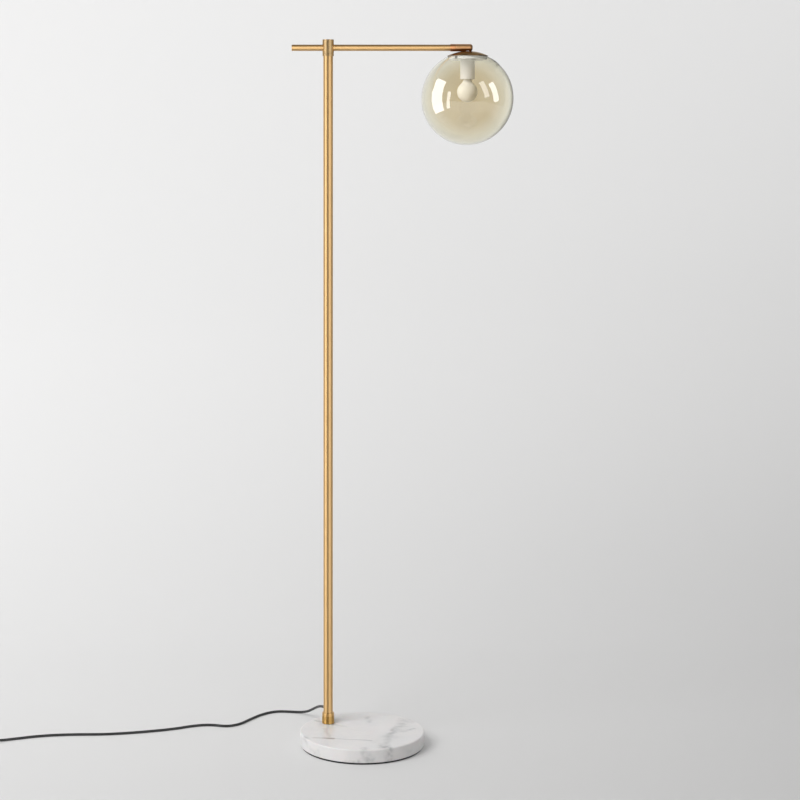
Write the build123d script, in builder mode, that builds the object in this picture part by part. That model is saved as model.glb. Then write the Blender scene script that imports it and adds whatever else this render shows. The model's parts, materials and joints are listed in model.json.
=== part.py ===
from build123d import *
import math
import os

# Floor lamp with a clear glass globe on a swivelling arm. Millimetres.
# The origin is the middle of the foot's underside, +Z up, +X along the arm to the globe.
os.makedirs("parts", exist_ok=True)

# Clearances
fit = 0.05  # between pieces of one assembly, on the radius
running_fit = 0.05  # between pieces that turn or slide in each other, on the radius
rest_gap = 0.3  # between faces that lie on each other and move apart

# Foot
disc_diameter = 278
disc_thickness = 30
disc_edge = 3
pad_thickness = 4
pad_inset = 4
pole_left = 76  # the pole stands left of the disc's middle
pole_back = 55  # and behind it
recess_diameter = 36
recess_depth = 14
stud_diameter = 10
stud_hole_clearance = 0.5
stud_below_nut = 0.8
stud_in_plug = 17
stud_chamfer = 1
washer_diameter = 30
washer_thickness = 2
lock_washer_diameter = 18
lock_washer_thickness = 2.2
lock_washer_split = 1.5
nut_across_flats = 17
nut_height = 8

# Foot collar and lock ring
gasket_thickness = 0.5
gasket_inset = 1
collar_height = 17
collar_floor = 4
collar_bottom_diameter = 28
collar_top_diameter = 27.2
collar_neck_diameter = 24
collar_neck_height = 5
lock_ring_height = 8
lock_ring_bottom_diameter = 27
lock_ring_top_diameter = 26.4
lock_ring_edge = 1.4
foot_plug_height = 20

# Pole
pole_diameter = 21
pole_wall = 1.5
lower_tube_length = 758.5
upper_tube_length = 729
tube_edge = 0.3
coupler_length = 50
coupler_wall = 1.6
bush_length = 30
bush_flange = 0.5
swivel_ring_diameter = 24.5
swivel_ring_height = 4.5
swivel_ring_bevel = 1

# Hub and arm
hub_diameter = 24.5
hub_height = 30.6
hub_edge = 0.5
arm_above_hub_base = 13.2
spigot_diameter = 14
spigot_bore = 8
spigot_length = 28
stop_groove_depth = 1.5
stop_groove_height = 3.7
stop_land = 24  # degrees of the spigot left standing as the stop
stop_screw_diameter = 3
clamp_screw_diameter = 4
screw_socket_depth = 1.6
arm_diameter = 13.4
arm_wall = 1.2
arm_stub = 78.8  # from the pole's axis to the left end
arm_reach = 301.5  # from the pole's axis to the globe's axis
arm_into_fitting = 16.1
end_plug_flange = 1.5
end_plug_depth = 8
fitting_diameter = 15.8
fitting_past_globe = 10.4
fitting_length = 37
fitting_end_radius = 5.5
fitting_end_wall = 8
fitting_ring_length = 11
fitting_ring_inset = 0.05

# Head
globe_diameter = 200
glass_wall = 2
globe_mouth = 84
mouth_edge = 0.6
cap_diameter = 89
cap_thickness = 1.1
cap_flat_drop = 0.8  # the cap's flat lies this far under its sphere's top
nipple_diameter = 10
nipple_bore = 7
nipple_in_fitting = 3.4
spacer_diameter = 13
spacer_length = 12.5
gallery_nut_height = 3
gallery_nut_across = 14
gallery_diameter = 81
gallery_height = 8.5
gallery_wall = 1
spring_count = 3
spring_first_angle = -131
spring_width = 8
spring_thickness = 0.4
spring_bow = 0.9
spring_screw_diameter = 2.4
spring_screw_head = 4.2
spring_screw_head_height = 0.6
spring_screw_height = 2.7
spring_screw_length = 3.6
holder_diameter = 31.8
holder_length = 41.5
holder_wall = 1.2
holder_edge = 0.8
nipple_nut_height = 3
nipple_past_nut = 0.5
core_head = 5.5
core_length = 31.5
screw_shell_bore = 14.2
screw_shell_wall = 0.6
screw_shell_length = 24.5
contact_thickness = 2
contact_width = 6
contact_length = 12

# Bulb
bulb_diameter = 44.4
bulb_length = 78
bulb_glass_wall = 1
bulb_neck_diameter = 17.2
bulb_neck_angle = 40  # degrees from the top where the ball runs into the neck
bulb_cap_diameter = 14
bulb_cap_wall = 0.5
bulb_cap_length = 22.5
bulb_glass_in_cap = 4
bulb_tip_height = 0.7
bulb_tip_diameter = 5
insulator_height = 1
stem_length = 20
stem_diameter = 5
filament_diameter = 1.2
filament_length = 18
filament_spread = 6

# Lead inside the pole and arm
pole_wire_diameter = 4.4
arm_wire_diameter = 4
pole_wire_bend = 6
arm_wire_bend = 7.5
arm_hole_diameter = 8

# Cord and strain relief at the foot
cord_diameter = 6
exit_height = 68  # where the relief's axis meets the pole's axis
exit_angle = 106.5  # degrees from +X, seen from above
exit_fall = 0.2  # fall for each millimetre outward
relief_start = 8
relief_tip = 33.5
relief_root_diameter = 9
relief_tip_diameter = 7
relief_neck_diameter = 7.9
relief_bore = 5
relief_flange_diameter = 10.4
relief_flange_start = 5.3
relief_flange_thickness = 1.8

# Foot switch, put away left of the pole
switch_length = 84
switch_width = 42
switch_split = 9.6
switch_height = 24
switch_wall = 2.2
switch_bottom_edge = 1.5
switch_top_edge = 5
switch_entry = 790  # left of the pole's axis to the first relief's tip
switch_front = 46  # in front of the pole's axis
cord_relief_length = 20
cord_relief_tip_diameter = 8
cord_relief_root_diameter = 11
cord_relief_neck_diameter = 7
cord_relief_flange_diameter = 10
cord_relief_flange = 1.6
button_diameter = 24
button_travel = 3
button_proud_pressed = 1
button_wall = 2.5
button_top = 3
button_depth = 13
button_flange = 1.2
button_flange_thickness = 1.5
button_edge = 1.2
boss_diameter = 18
boss_height = 6.8
boss_pin_diameter = 9
boss_pin_height = 6
spring_wire = 1
spring_mean_diameter = 14
spring_turns = 4
terminal_length = 8
terminal_width = 6
terminal_height = 8.8
terminal_centre = 26
switch_wire_diameter = 2
neutral_height = 6
neutral_bend = 2.5
neutral_start_side = 3
neutral_lead = 3
neutral_past_post = (22, 7)
neutral_past_boss = (8, 12)
neutral_far_corner = (-30, 13)
switch_screw_x = 24
switch_screw_y = 13
switch_post_diameter = 7
switch_screw_diameter = 2.8
switch_screw_head = 5.6
switch_screw_head_height = 2
switch_screw_length = 15.6
switch_screw_recess = 0.4

# Put-away coil
coil_middle_radius = 33
coil_pitch = 6.7
coil_turns = 3.5
coil_left = 975  # left of the pole's axis
cord_straight = 17  # straight run in front of a relief or the coil
arcs_per_turn = 4

# Plug
plug_width = 35.3
plug_height = 13.7
plug_length = 36
plug_neck = 15
plug_shoulder = 14
plug_edge = 2.5
plug_wall = 2.2
pin_diameter = 4
pin_length = 19
pin_spacing = 18.6
pin_in_body = 8
pin_edge = 0.8
plug_gap_front = 5  # the plug's axis lies this far in front of the coil's end
tail_length = 76

# Places worked out from the sizes above
pole_x, pole_y = -pole_left, pole_back
pole_radius = pole_diameter / 2
pole_bore = pole_radius - pole_wall
disc_bottom = pad_thickness
disc_top = disc_bottom + disc_thickness
recess_top = disc_bottom + recess_depth
washer_bottom = recess_top - washer_thickness
lock_washer_bottom = washer_bottom - lock_washer_thickness
nut_bottom = lock_washer_bottom - nut_height
collar_bottom = disc_top + gasket_thickness
pole_bottom = collar_bottom + collar_floor
collar_top = collar_bottom + collar_height
lock_ring_top = collar_top + lock_ring_height
pole_joint = pole_bottom + lower_tube_length
pole_top = pole_joint + upper_tube_length
flange_top = pole_top + bush_flange
hub_bottom = flange_top + rest_gap
arm_height = hub_bottom + arm_above_hub_base
arm_radius = arm_diameter / 2
arm_bore = arm_radius - arm_wall
hub_radius = hub_diameter / 2
spigot_radius = spigot_diameter / 2
spigot_bottom = hub_bottom - spigot_length
spigot_top = arm_height - arm_radius - fit
stop_screw_height = flange_top - swivel_ring_height / 2
globe_x = pole_x + arm_reach
fitting_radius = fitting_diameter / 2
fitting_right = globe_x + fitting_past_globe
fitting_left = fitting_right - fitting_length
ring_left = fitting_left - fitting_ring_length
arm_right = fitting_left + arm_into_fitting
cap_top = arm_height - fitting_radius
cap_underside = cap_top - cap_thickness
glass_radius = globe_diameter / 2
cap_inner_radius = glass_radius + rest_gap
cap_outer_radius = cap_inner_radius + cap_thickness
globe_height = cap_top + cap_flat_drop - cap_outer_radius
mouth_radius = globe_mouth / 2
nipple_radius = nipple_diameter / 2
gallery_floor_top = cap_underside - spacer_length - gallery_nut_height
gallery_bottom = gallery_floor_top - gallery_wall
gallery_radius = gallery_diameter / 2
holder_top = gallery_bottom
holder_bottom = holder_top - holder_length
holder_radius = holder_diameter / 2
nipple_nut_bottom = holder_top - holder_wall - nipple_nut_height
nipple_bottom = nipple_nut_bottom - nipple_past_nut
core_top = nipple_bottom - rest_gap
core_bottom = core_top - core_length
core_ceiling = core_top - core_head
contact_bottom = core_ceiling - contact_thickness
bulb_top = contact_bottom - rest_gap
bulb_bottom = bulb_top - bulb_length
bulb_cap_top = bulb_top - bulb_tip_height - insulator_height
bulb_cap_bottom = bulb_cap_top - bulb_cap_length
cord_radius = cord_diameter / 2

up = (Align.CENTER, Align.CENTER, Align.MIN)
down = (Align.CENTER, Align.CENTER, Align.MAX)
pole_axis = Axis((pole_x, pole_y, 0), (0, 0, 1))
globe_axis = Axis((globe_x, pole_y, 0), (0, 0, 1))
pole_section = Plane((pole_x, pole_y, 0), x_dir=(1, 0, 0), z_dir=(0, -1, 0))
globe_section = Plane((globe_x, pole_y, 0), x_dir=(1, 0, 0), z_dir=(0, -1, 0))


def over_pole(height):
    # level plane round the pole's axis
    return Plane((pole_x, pole_y, height))


def over_globe(height):
    # level plane round the globe's axis
    return Plane((globe_x, pole_y, height))


def along_arm(x):
    # plane across the arm at x, looking along +X
    return Plane((x, pole_y, arm_height), x_dir=(0, 1, 0), z_dir=(1, 0, 0))


def tube(plane, outer, inner, length):
    # round tube or ring from radii
    with BuildSketch(plane) as ring:
        Circle(outer)
        Circle(inner, mode=Mode.SUBTRACT)
    extrude(ring.sketch, amount=length)


def turn(section, axis, *points):
    # closed outline of radius and height, turned round the axis
    with BuildSketch(section) as outline:
        with BuildLine():
            Polyline(*points, close=True)
        make_face()
    revolve(outline.sketch, axis=axis)


def hex_nut(plane, across, bore, height):
    with BuildSketch(plane) as nut:
        RegularPolygon(across / 2, 6, major_radius=False)
        Circle(bore, mode=Mode.SUBTRACT)
    extrude(nut.sketch, amount=height)


def save(piece, name):
    piece.part.label = name
    export_step(piece.part, f"parts/{name}.step")


# Foot
with BuildPart() as foot_pad:
    with BuildSketch():
        Circle(disc_diameter / 2 - pad_inset)
    extrude(amount=pad_thickness)
save(foot_pad, "foot_pad")

with BuildPart(Plane.XY.offset(disc_bottom)) as marble_disc:
    Cylinder(disc_diameter / 2, disc_thickness, align=up)
    fillet(marble_disc.edges().filter_by(GeomType.CIRCLE), disc_edge)
    with Locations((pole_x, pole_y, 0)):
        Cylinder(recess_diameter / 2, recess_depth, align=up, mode=Mode.SUBTRACT)
        Cylinder(
            stud_diameter / 2 + stud_hole_clearance, disc_thickness, align=up, mode=Mode.SUBTRACT
        )
save(marble_disc, "marble_disc")

stud_bottom = nut_bottom - stud_below_nut
with BuildPart(over_pole(stud_bottom)) as base_stud:
    Cylinder(stud_diameter / 2, pole_bottom + stud_in_plug - stud_bottom, align=up)
    chamfer(base_stud.edges().filter_by(GeomType.CIRCLE), stud_chamfer)
save(base_stud, "base_stud")

with BuildPart() as stud_washer:
    tube(over_pole(washer_bottom), washer_diameter / 2, stud_diameter / 2 + fit, washer_thickness)
save(stud_washer, "stud_washer")

with BuildPart(over_pole(lock_washer_bottom)) as lock_washer:
    Cylinder(lock_washer_diameter / 2, lock_washer_thickness, align=up)
    Cylinder(stud_diameter / 2 + fit, lock_washer_thickness, align=up, mode=Mode.SUBTRACT)
    Box(
        lock_washer_diameter,
        lock_washer_split,
        lock_washer_thickness,
        align=(Align.MIN, Align.CENTER, Align.MIN),
        mode=Mode.SUBTRACT,
    )
save(lock_washer, "lock_washer")

with BuildPart() as stud_nut:
    hex_nut(over_pole(nut_bottom), nut_across_flats, stud_diameter / 2 + fit, nut_height)
save(stud_nut, "stud_nut")

with BuildPart() as collar_gasket:
    tube(
        over_pole(disc_top),
        collar_bottom_diameter / 2 - gasket_inset,
        stud_diameter / 2 + stud_hole_clearance,
        gasket_thickness,
    )
save(collar_gasket, "collar_gasket")

# Foot collar: a cup that holds the pole's foot, with a neck for the lock ring
neck_top = collar_top + collar_neck_height
with BuildPart() as foot_collar:
    turn(
        pole_section,
        pole_axis,
        (stud_diameter / 2 + fit, collar_bottom),
        (collar_bottom_diameter / 2, collar_bottom),
        (collar_top_diameter / 2, collar_top),
        (collar_neck_diameter / 2, collar_top),
        (collar_neck_diameter / 2, neck_top),
        (pole_radius + fit, neck_top),
        (pole_radius + fit, pole_bottom),
        (stud_diameter / 2 + fit, pole_bottom),
    )
save(foot_collar, "foot_collar")

with BuildPart() as foot_lock_ring:
    turn(
        pole_section,
        pole_axis,
        (collar_neck_diameter / 2 + fit, collar_top),
        (lock_ring_bottom_diameter / 2, collar_top),
        (lock_ring_top_diameter / 2, lock_ring_top),
        (pole_radius + fit, lock_ring_top),
        (pole_radius + fit, neck_top + fit),
        (collar_neck_diameter / 2 + fit, neck_top + fit),
    )
    ring_rims = foot_lock_ring.edges().filter_by(GeomType.CIRCLE).group_by(Axis.Z)[-1]
    fillet(ring_rims.sort_by(SortBy.RADIUS)[-1], lock_ring_edge)
save(foot_lock_ring, "foot_lock_ring")

with BuildPart() as pole_foot_plug:
    tube(over_pole(pole_bottom), pole_bore - fit, stud_diameter / 2 + fit, foot_plug_height)
save(pole_foot_plug, "pole_foot_plug")

# Strain relief axis, square to the cord's first run
fall_length = math.hypot(1, exit_fall)
exit_dir = Vector(
    math.cos(math.radians(exit_angle)) / fall_length,
    math.sin(math.radians(exit_angle)) / fall_length,
    -exit_fall / fall_length,
)
exit_origin = Vector(pole_x, pole_y, exit_height)


def along_exit(distance):
    # plane across the cord's exit, this far from the pole's axis
    return Plane(exit_origin + exit_dir * distance, z_dir=exit_dir)


# Pole
with BuildPart() as lower_tube:
    tube(over_pole(pole_bottom), pole_radius, pole_bore, lower_tube_length)
    top_rim = lower_tube.edges().filter_by(GeomType.CIRCLE).group_by(Axis.Z)[-1]
    chamfer(top_rim.sort_by(SortBy.RADIUS)[-1], tube_edge)
    with BuildSketch(along_exit(0)):
        Circle(relief_neck_diameter / 2 + fit)
    extrude(amount=pole_diameter, mode=Mode.SUBTRACT)
save(lower_tube, "lower_tube")

with BuildPart() as upper_tube:
    tube(over_pole(pole_joint), pole_radius, pole_bore, upper_tube_length)
    bottom_rim = upper_tube.edges().filter_by(GeomType.CIRCLE).group_by(Axis.Z)[0]
    chamfer(bottom_rim.sort_by(SortBy.RADIUS)[-1], tube_edge)
    with BuildSketch(Plane((pole_x, pole_y, stop_screw_height), z_dir=(0, 1, 0))):
        Circle(stop_screw_diameter / 2 + fit)
    extrude(amount=pole_diameter, mode=Mode.SUBTRACT)
save(upper_tube, "upper_tube")

with BuildPart() as pole_coupler:
    tube(
        over_pole(pole_joint - coupler_length / 2),
        pole_bore - fit,
        pole_bore - fit - coupler_wall,
        coupler_length,
    )
save(pole_coupler, "pole_coupler")

with BuildPart() as strain_relief:
    with BuildSketch(along_exit(relief_start)):
        Circle(relief_root_diameter / 2)
    with BuildSketch(along_exit(relief_tip)):
        Circle(relief_tip_diameter / 2)
    loft()
    with BuildSketch(over_pole(0)):
        Circle(pole_radius + fit)
    extrude(amount=2 * exit_height, mode=Mode.SUBTRACT)
    with BuildSketch(along_exit(relief_flange_start)):
        Circle(relief_neck_diameter / 2)
    extrude(amount=pole_radius + pole_wall - relief_flange_start)
    with BuildSketch(along_exit(relief_flange_start)):
        Circle(relief_flange_diameter / 2)
    extrude(amount=relief_flange_thickness)
    with BuildSketch(along_exit(0)):
        Circle(relief_bore / 2)
    extrude(amount=relief_tip, mode=Mode.SUBTRACT)
save(strain_relief, "strain_relief")

# Swivel at the pole's top
bush_bore = spigot_radius + running_fit
with BuildPart() as pole_top_bush:
    turn(
        pole_section,
        pole_axis,
        (bush_bore, pole_top - bush_length),
        (pole_bore - fit, pole_top - bush_length),
        (pole_bore - fit, pole_top),
        (pole_radius - fit, pole_top),
        (pole_radius - fit, flange_top),
        (bush_bore, flange_top),
    )
    with BuildSketch(Plane((pole_x, pole_y, stop_screw_height), z_dir=(0, 1, 0))):
        Circle(stop_screw_diameter / 2 + fit)
    extrude(amount=pole_diameter, mode=Mode.SUBTRACT)
save(pole_top_bush, "pole_top_bush")

swivel_ring_bottom = flange_top - swivel_ring_height
with BuildPart() as swivel_ring:
    tube(
        over_pole(swivel_ring_bottom),
        swivel_ring_diameter / 2,
        pole_radius + fit,
        swivel_ring_height,
    )
    low_rim = swivel_ring.edges().filter_by(GeomType.CIRCLE).group_by(Axis.Z)[0]
    chamfer(low_rim.sort_by(SortBy.RADIUS)[-1], swivel_ring_bevel)
    with BuildSketch(Plane((pole_x, pole_y, stop_screw_height), z_dir=(0, 1, 0))):
        Circle(stop_screw_diameter / 2 + fit)
    extrude(amount=swivel_ring_diameter, mode=Mode.SUBTRACT)
save(swivel_ring, "swivel_ring")

stop_tip = spigot_radius - stop_groove_depth + rest_gap
stop_head = swivel_ring_diameter / 2 - rest_gap
with BuildPart(Plane((pole_x, pole_y + stop_tip, stop_screw_height), z_dir=(0, 1, 0))) as stop_screw:
    Cylinder(stop_screw_diameter / 2, stop_head - stop_tip, align=up)
    with BuildSketch(Plane((pole_x, pole_y + stop_head, stop_screw_height), z_dir=(0, 1, 0))):
        RegularPolygon(stop_screw_diameter / 4, 6, major_radius=False)
    extrude(amount=-screw_socket_depth, mode=Mode.SUBTRACT)
save(stop_screw, "swivel_stop_screw")

# The lead inside the pole: in through the relief, round a bend and up to the bush
wire_break = pole_top - bush_length - rest_gap
with BuildPart() as pole_wire:
    with BuildLine() as wire_path:
        FilletPolyline(
            exit_origin + exit_dir * relief_tip,
            exit_origin,
            (pole_x, pole_y, wire_break),
            radius=pole_wire_bend,
        )
    with BuildSketch(along_exit(relief_tip)):
        Circle(pole_wire_diameter / 2)
    sweep(path=wire_path.line)
save(pole_wire, "pole_wire")

# Hub on the pole and the spigot that turns in the bush
with BuildPart(over_pole(hub_bottom)) as hub:
    Cylinder(hub_radius, hub_height, align=up)
    fillet(hub.edges().filter_by(GeomType.CIRCLE), hub_edge)
    with BuildSketch(along_arm(pole_x - hub_diameter)):
        Circle(arm_radius + fit)
    extrude(amount=2 * hub_diameter, mode=Mode.SUBTRACT)
    with BuildSketch(over_pole(hub_bottom)):
        Circle(spigot_radius + fit)
    extrude(amount=arm_above_hub_base, mode=Mode.SUBTRACT)
    with BuildSketch(Plane((pole_x, pole_y, arm_height), z_dir=(0, 1, 0))):
        Circle(clamp_screw_diameter / 2 + fit)
    extrude(amount=hub_diameter, mode=Mode.SUBTRACT)
save(hub, "hub")

# The groove leaves a land at the front, where the stop screw at the back never gets within range
with BuildPart() as hub_spigot:
    tube(over_pole(spigot_bottom), spigot_radius, spigot_bore / 2, spigot_top - spigot_bottom)
    with BuildSketch(over_pole(stop_screw_height - stop_groove_height / 2)):
        Circle(spigot_radius + fit)
        Circle(spigot_radius - stop_groove_depth, mode=Mode.SUBTRACT)
        with BuildLine():
            land_side = spigot_diameter * math.tan(math.radians(stop_land / 2))
            Polyline(
                (0, 0),
                (-land_side, -spigot_diameter),
                (land_side, -spigot_diameter),
                close=True,
            )
        make_face(mode=Mode.SUBTRACT)
    extrude(amount=stop_groove_height, mode=Mode.SUBTRACT)
save(hub_spigot, "hub_spigot")

clamp_length = hub_radius - rest_gap - arm_radius
with BuildPart(Plane((pole_x, pole_y + arm_radius, arm_height), z_dir=(0, 1, 0))) as clamp_screw:
    Cylinder(clamp_screw_diameter / 2, clamp_length, align=up)
    with BuildSketch(Plane((pole_x, pole_y + arm_radius + clamp_length, arm_height), z_dir=(0, 1, 0))):
        RegularPolygon(clamp_screw_diameter / 4, 6, major_radius=False)
    extrude(amount=-screw_socket_depth, mode=Mode.SUBTRACT)
save(clamp_screw, "arm_clamp_screw")

# Arm
stub_end = pole_x - arm_stub
arm_left = stub_end + end_plug_flange
with BuildPart() as arm_tube:
    tube(along_arm(arm_left), arm_radius, arm_bore, arm_right - arm_left)
    with BuildSketch(over_pole(arm_height)):
        Circle(arm_hole_diameter / 2)
    extrude(amount=-arm_diameter, mode=Mode.SUBTRACT)
save(arm_tube, "arm_tube")

with BuildPart(along_arm(stub_end)) as arm_end_plug:
    Cylinder(arm_radius, end_plug_flange, align=up)
    chamfer(arm_end_plug.edges().filter_by(GeomType.CIRCLE).sort_by(Axis.X)[0], end_plug_flange / 3)
    Cylinder(arm_bore - fit, end_plug_flange + end_plug_depth, align=up)
save(arm_end_plug, "arm_end_plug")

with BuildPart() as fitting_ring:
    tube(
        along_arm(ring_left),
        fitting_radius - fitting_ring_inset,
        arm_radius + fit,
        fitting_ring_length,
    )
    chamfer(
        fitting_ring.edges().filter_by(GeomType.CIRCLE).sort_by(SortBy.RADIUS)[-2:], tube_edge
    )
save(fitting_ring, "fitting_ring")

# Head fitting: takes the arm's end, has a rounded nose and a threaded hole for the nipple
wire_room_end = fitting_right - fitting_end_wall
with BuildPart(along_arm(fitting_left)) as head_fitting:
    Cylinder(fitting_radius, fitting_length, align=up)
    fitting_rims = head_fitting.edges().filter_by(GeomType.CIRCLE).sort_by(Axis.X)
    fillet(fitting_rims[-1], fitting_end_radius)
    chamfer(fitting_rims[0], tube_edge)
    Cylinder(arm_radius + fit, arm_into_fitting + fit, align=up, mode=Mode.SUBTRACT)
    Cylinder(arm_bore, wire_room_end - fitting_left, align=up, mode=Mode.SUBTRACT)
    with BuildSketch(over_globe(cap_top)):
        Circle(nipple_radius + fit)
    extrude(amount=fitting_radius, mode=Mode.SUBTRACT)
save(head_fitting, "head_fitting")

with BuildPart() as head_nipple:
    tube(
        over_globe(nipple_bottom),
        nipple_radius,
        nipple_bore / 2,
        cap_top + nipple_in_fitting - nipple_bottom,
    )
save(head_nipple, "head_nipple")

wire_end = core_top + rest_gap
with BuildPart() as arm_wire:
    with BuildLine() as arm_wire_path:
        FilletPolyline(
            (pole_x, pole_y, wire_break + rest_gap),
            (pole_x, pole_y, arm_height),
            (globe_x, pole_y, arm_height),
            (globe_x, pole_y, wire_end),
            radius=arm_wire_bend,
        )
    with BuildSketch(over_pole(wire_break + rest_gap)):
        Circle(arm_wire_diameter / 2)
    sweep(path=arm_wire_path.line)
save(arm_wire, "arm_wire")


# Head: a shell between two spheres round the globe's middle, down to the level where it has this radius
def level_at(sphere_radius, radius):
    return globe_height + math.sqrt(sphere_radius**2 - radius**2)


def arc_between(sphere_radius, start, end):
    # point halfway along the sphere's section from one polar angle to another, in degrees
    angle = math.radians((start + end) / 2)
    return (sphere_radius * math.sin(angle), globe_height + sphere_radius * math.cos(angle))


def polar(sphere_radius, radius):
    return math.degrees(math.asin(radius / sphere_radius))


cap_radius = cap_diameter / 2
flat_radius = math.sqrt(cap_outer_radius**2 - (cap_top - globe_height) ** 2)
under_flat = math.sqrt(cap_inner_radius**2 - (cap_underside - globe_height) ** 2)
with BuildPart() as shade_cap:
    with BuildSketch(globe_section):
        with BuildLine():
            Line((nipple_radius + fit, cap_top), (flat_radius, cap_top))
            ThreePointArc(
                (flat_radius, cap_top),
                arc_between(
                    cap_outer_radius,
                    polar(cap_outer_radius, flat_radius),
                    polar(cap_outer_radius, cap_radius),
                ),
                (cap_radius, level_at(cap_outer_radius, cap_radius)),
            )
            Line(
                (cap_radius, level_at(cap_outer_radius, cap_radius)),
                (cap_radius, level_at(cap_inner_radius, cap_radius)),
            )
            ThreePointArc(
                (cap_radius, level_at(cap_inner_radius, cap_radius)),
                arc_between(
                    cap_inner_radius,
                    polar(cap_inner_radius, under_flat),
                    polar(cap_inner_radius, cap_radius),
                ),
                (under_flat, cap_underside),
            )
            Line((under_flat, cap_underside), (nipple_radius + fit, cap_underside))
            Line((nipple_radius + fit, cap_underside), (nipple_radius + fit, cap_top))
        make_face()
    revolve(axis=globe_axis)
save(shade_cap, "shade_cap")

with BuildPart() as spacer_tube:
    tube(
        over_globe(cap_underside - spacer_length),
        spacer_diameter / 2,
        nipple_radius + fit,
        spacer_length,
    )
save(spacer_tube, "spacer_tube")

with BuildPart() as gallery_nut:
    hex_nut(
        over_globe(gallery_floor_top), gallery_nut_across, nipple_radius + fit, gallery_nut_height
    )
save(gallery_nut, "gallery_nut")

spring_angles = [spring_first_angle + 360 / spring_count * n for n in range(spring_count)]
screw_level = gallery_bottom + spring_screw_height


def across_gallery(angle, radius):
    # upright plane that faces outward at this angle of the gallery
    outward = Vector(math.cos(math.radians(angle)), math.sin(math.radians(angle)), 0)
    return Plane(
        Vector(globe_x, pole_y, screw_level) + outward * radius,
        x_dir=(0, 0, 1),
        z_dir=outward,
    )


with BuildPart() as shade_gallery:
    turn(
        globe_section,
        globe_axis,
        (nipple_radius + fit, gallery_bottom),
        (gallery_radius, gallery_bottom),
        (gallery_radius, gallery_bottom + gallery_height),
        (gallery_radius - gallery_wall, gallery_bottom + gallery_height),
        (gallery_radius - gallery_wall, gallery_floor_top),
        (nipple_radius + fit, gallery_floor_top),
    )
    for angle in spring_angles:
        with BuildSketch(across_gallery(angle, gallery_radius - spring_screw_length)):
            Circle(spring_screw_diameter / 2 + fit)
        extrude(amount=2 * spring_screw_length, mode=Mode.SUBTRACT)
save(shade_gallery, "shade_gallery")

# Leaf springs: a flat tab under the screw, and a bow that the glass's mouth presses on
tab_inner = gallery_radius + fit
tab_outer = tab_inner + spring_thickness
bow_outer = tab_outer + spring_bow - spring_thickness
with BuildPart() as glass_springs:
    for angle in spring_angles:
        outward = Vector(math.cos(math.radians(angle)), math.sin(math.radians(angle)), 0)
        sideways = Vector(-math.sin(math.radians(angle)), math.cos(math.radians(angle)), 0)
        strip_plane = Plane((globe_x, pole_y, gallery_bottom), x_dir=outward, z_dir=-sideways)
        with BuildSketch(strip_plane):
            with BuildLine():
                tab_end = 2 * spring_screw_height - rest_gap
                bow_middle = (tab_end + gallery_height) / 2
                Polyline(
                    (tab_inner, rest_gap),
                    (tab_outer, rest_gap),
                    (tab_outer, tab_end),
                    (bow_outer, bow_middle),
                    (tab_outer, gallery_height),
                    (tab_inner, gallery_height),
                    (bow_outer - spring_thickness, bow_middle),
                    (tab_inner, tab_end),
                    close=True,
                )
            make_face()
        extrude(amount=spring_width / 2, both=True)
        with BuildSketch(across_gallery(angle, gallery_radius)):
            Circle(spring_screw_diameter / 2 + fit)
        extrude(amount=spring_bow + spring_screw_length, mode=Mode.SUBTRACT)
save(glass_springs, "glass_springs")

with BuildPart() as spring_screws:
    for angle in spring_angles:
        with BuildSketch(across_gallery(angle, tab_outer)):
            Circle(spring_screw_head / 2)
        extrude(amount=spring_screw_head_height)
        with BuildSketch(across_gallery(angle, tab_outer)):
            Circle(spring_screw_diameter / 2)
        extrude(amount=-spring_screw_length)
save(spring_screws, "spring_screws")

with BuildPart() as holder_sleeve:
    turn(
        globe_section,
        globe_axis,
        (nipple_radius + fit, holder_top),
        (holder_radius, holder_top),
        (holder_radius, holder_bottom),
        (holder_radius - holder_wall, holder_bottom),
        (holder_radius - holder_wall, holder_top - holder_wall),
        (nipple_radius + fit, holder_top - holder_wall),
    )
    holder_rims = holder_sleeve.edges().filter_by(GeomType.CIRCLE).group_by(Axis.Z)[0]
    fillet(holder_rims.sort_by(SortBy.RADIUS)[-1], holder_edge)
save(holder_sleeve, "lampholder_sleeve")

with BuildPart() as nipple_nut:
    hex_nut(over_globe(nipple_nut_bottom), gallery_nut_across, nipple_radius + fit, nipple_nut_height)
save(nipple_nut, "nipple_nut")

shell_inner = screw_shell_bore / 2
shell_outer = shell_inner + screw_shell_wall
with BuildPart() as holder_core:
    turn(
        globe_section,
        globe_axis,
        (0, core_top),
        (holder_radius - holder_wall - fit, core_top),
        (holder_radius - holder_wall - fit, core_bottom),
        (shell_outer + fit, core_bottom),
        (shell_outer + fit, core_ceiling),
        (0, core_ceiling),
    )
save(holder_core, "lampholder_core")

with BuildPart() as screw_shell:
    tube(over_globe(core_ceiling - screw_shell_length), shell_outer, shell_inner, screw_shell_length)
save(screw_shell, "lampholder_shell")

with BuildPart(over_globe(contact_bottom)) as centre_contact:
    Box(contact_length, contact_width, contact_thickness, align=up)
    chamfer(centre_contact.edges().filter_by(Axis.Y).group_by(Axis.Z)[0], contact_thickness / 2)
save(centre_contact, "centre_contact")

# Bulb: a ball that runs into a neck, hung cap up
ball_radius = bulb_diameter / 2
ball_height = bulb_bottom + ball_radius
neck_radius = bulb_neck_diameter / 2
neck_turn = math.radians(bulb_neck_angle)
neck_end_turn = math.pi / 2 - neck_turn
neck_arc = (ball_radius * math.sin(neck_turn) - neck_radius) / (1 - math.cos(neck_end_turn))
glass_top = bulb_cap_bottom + bulb_glass_in_cap


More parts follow.
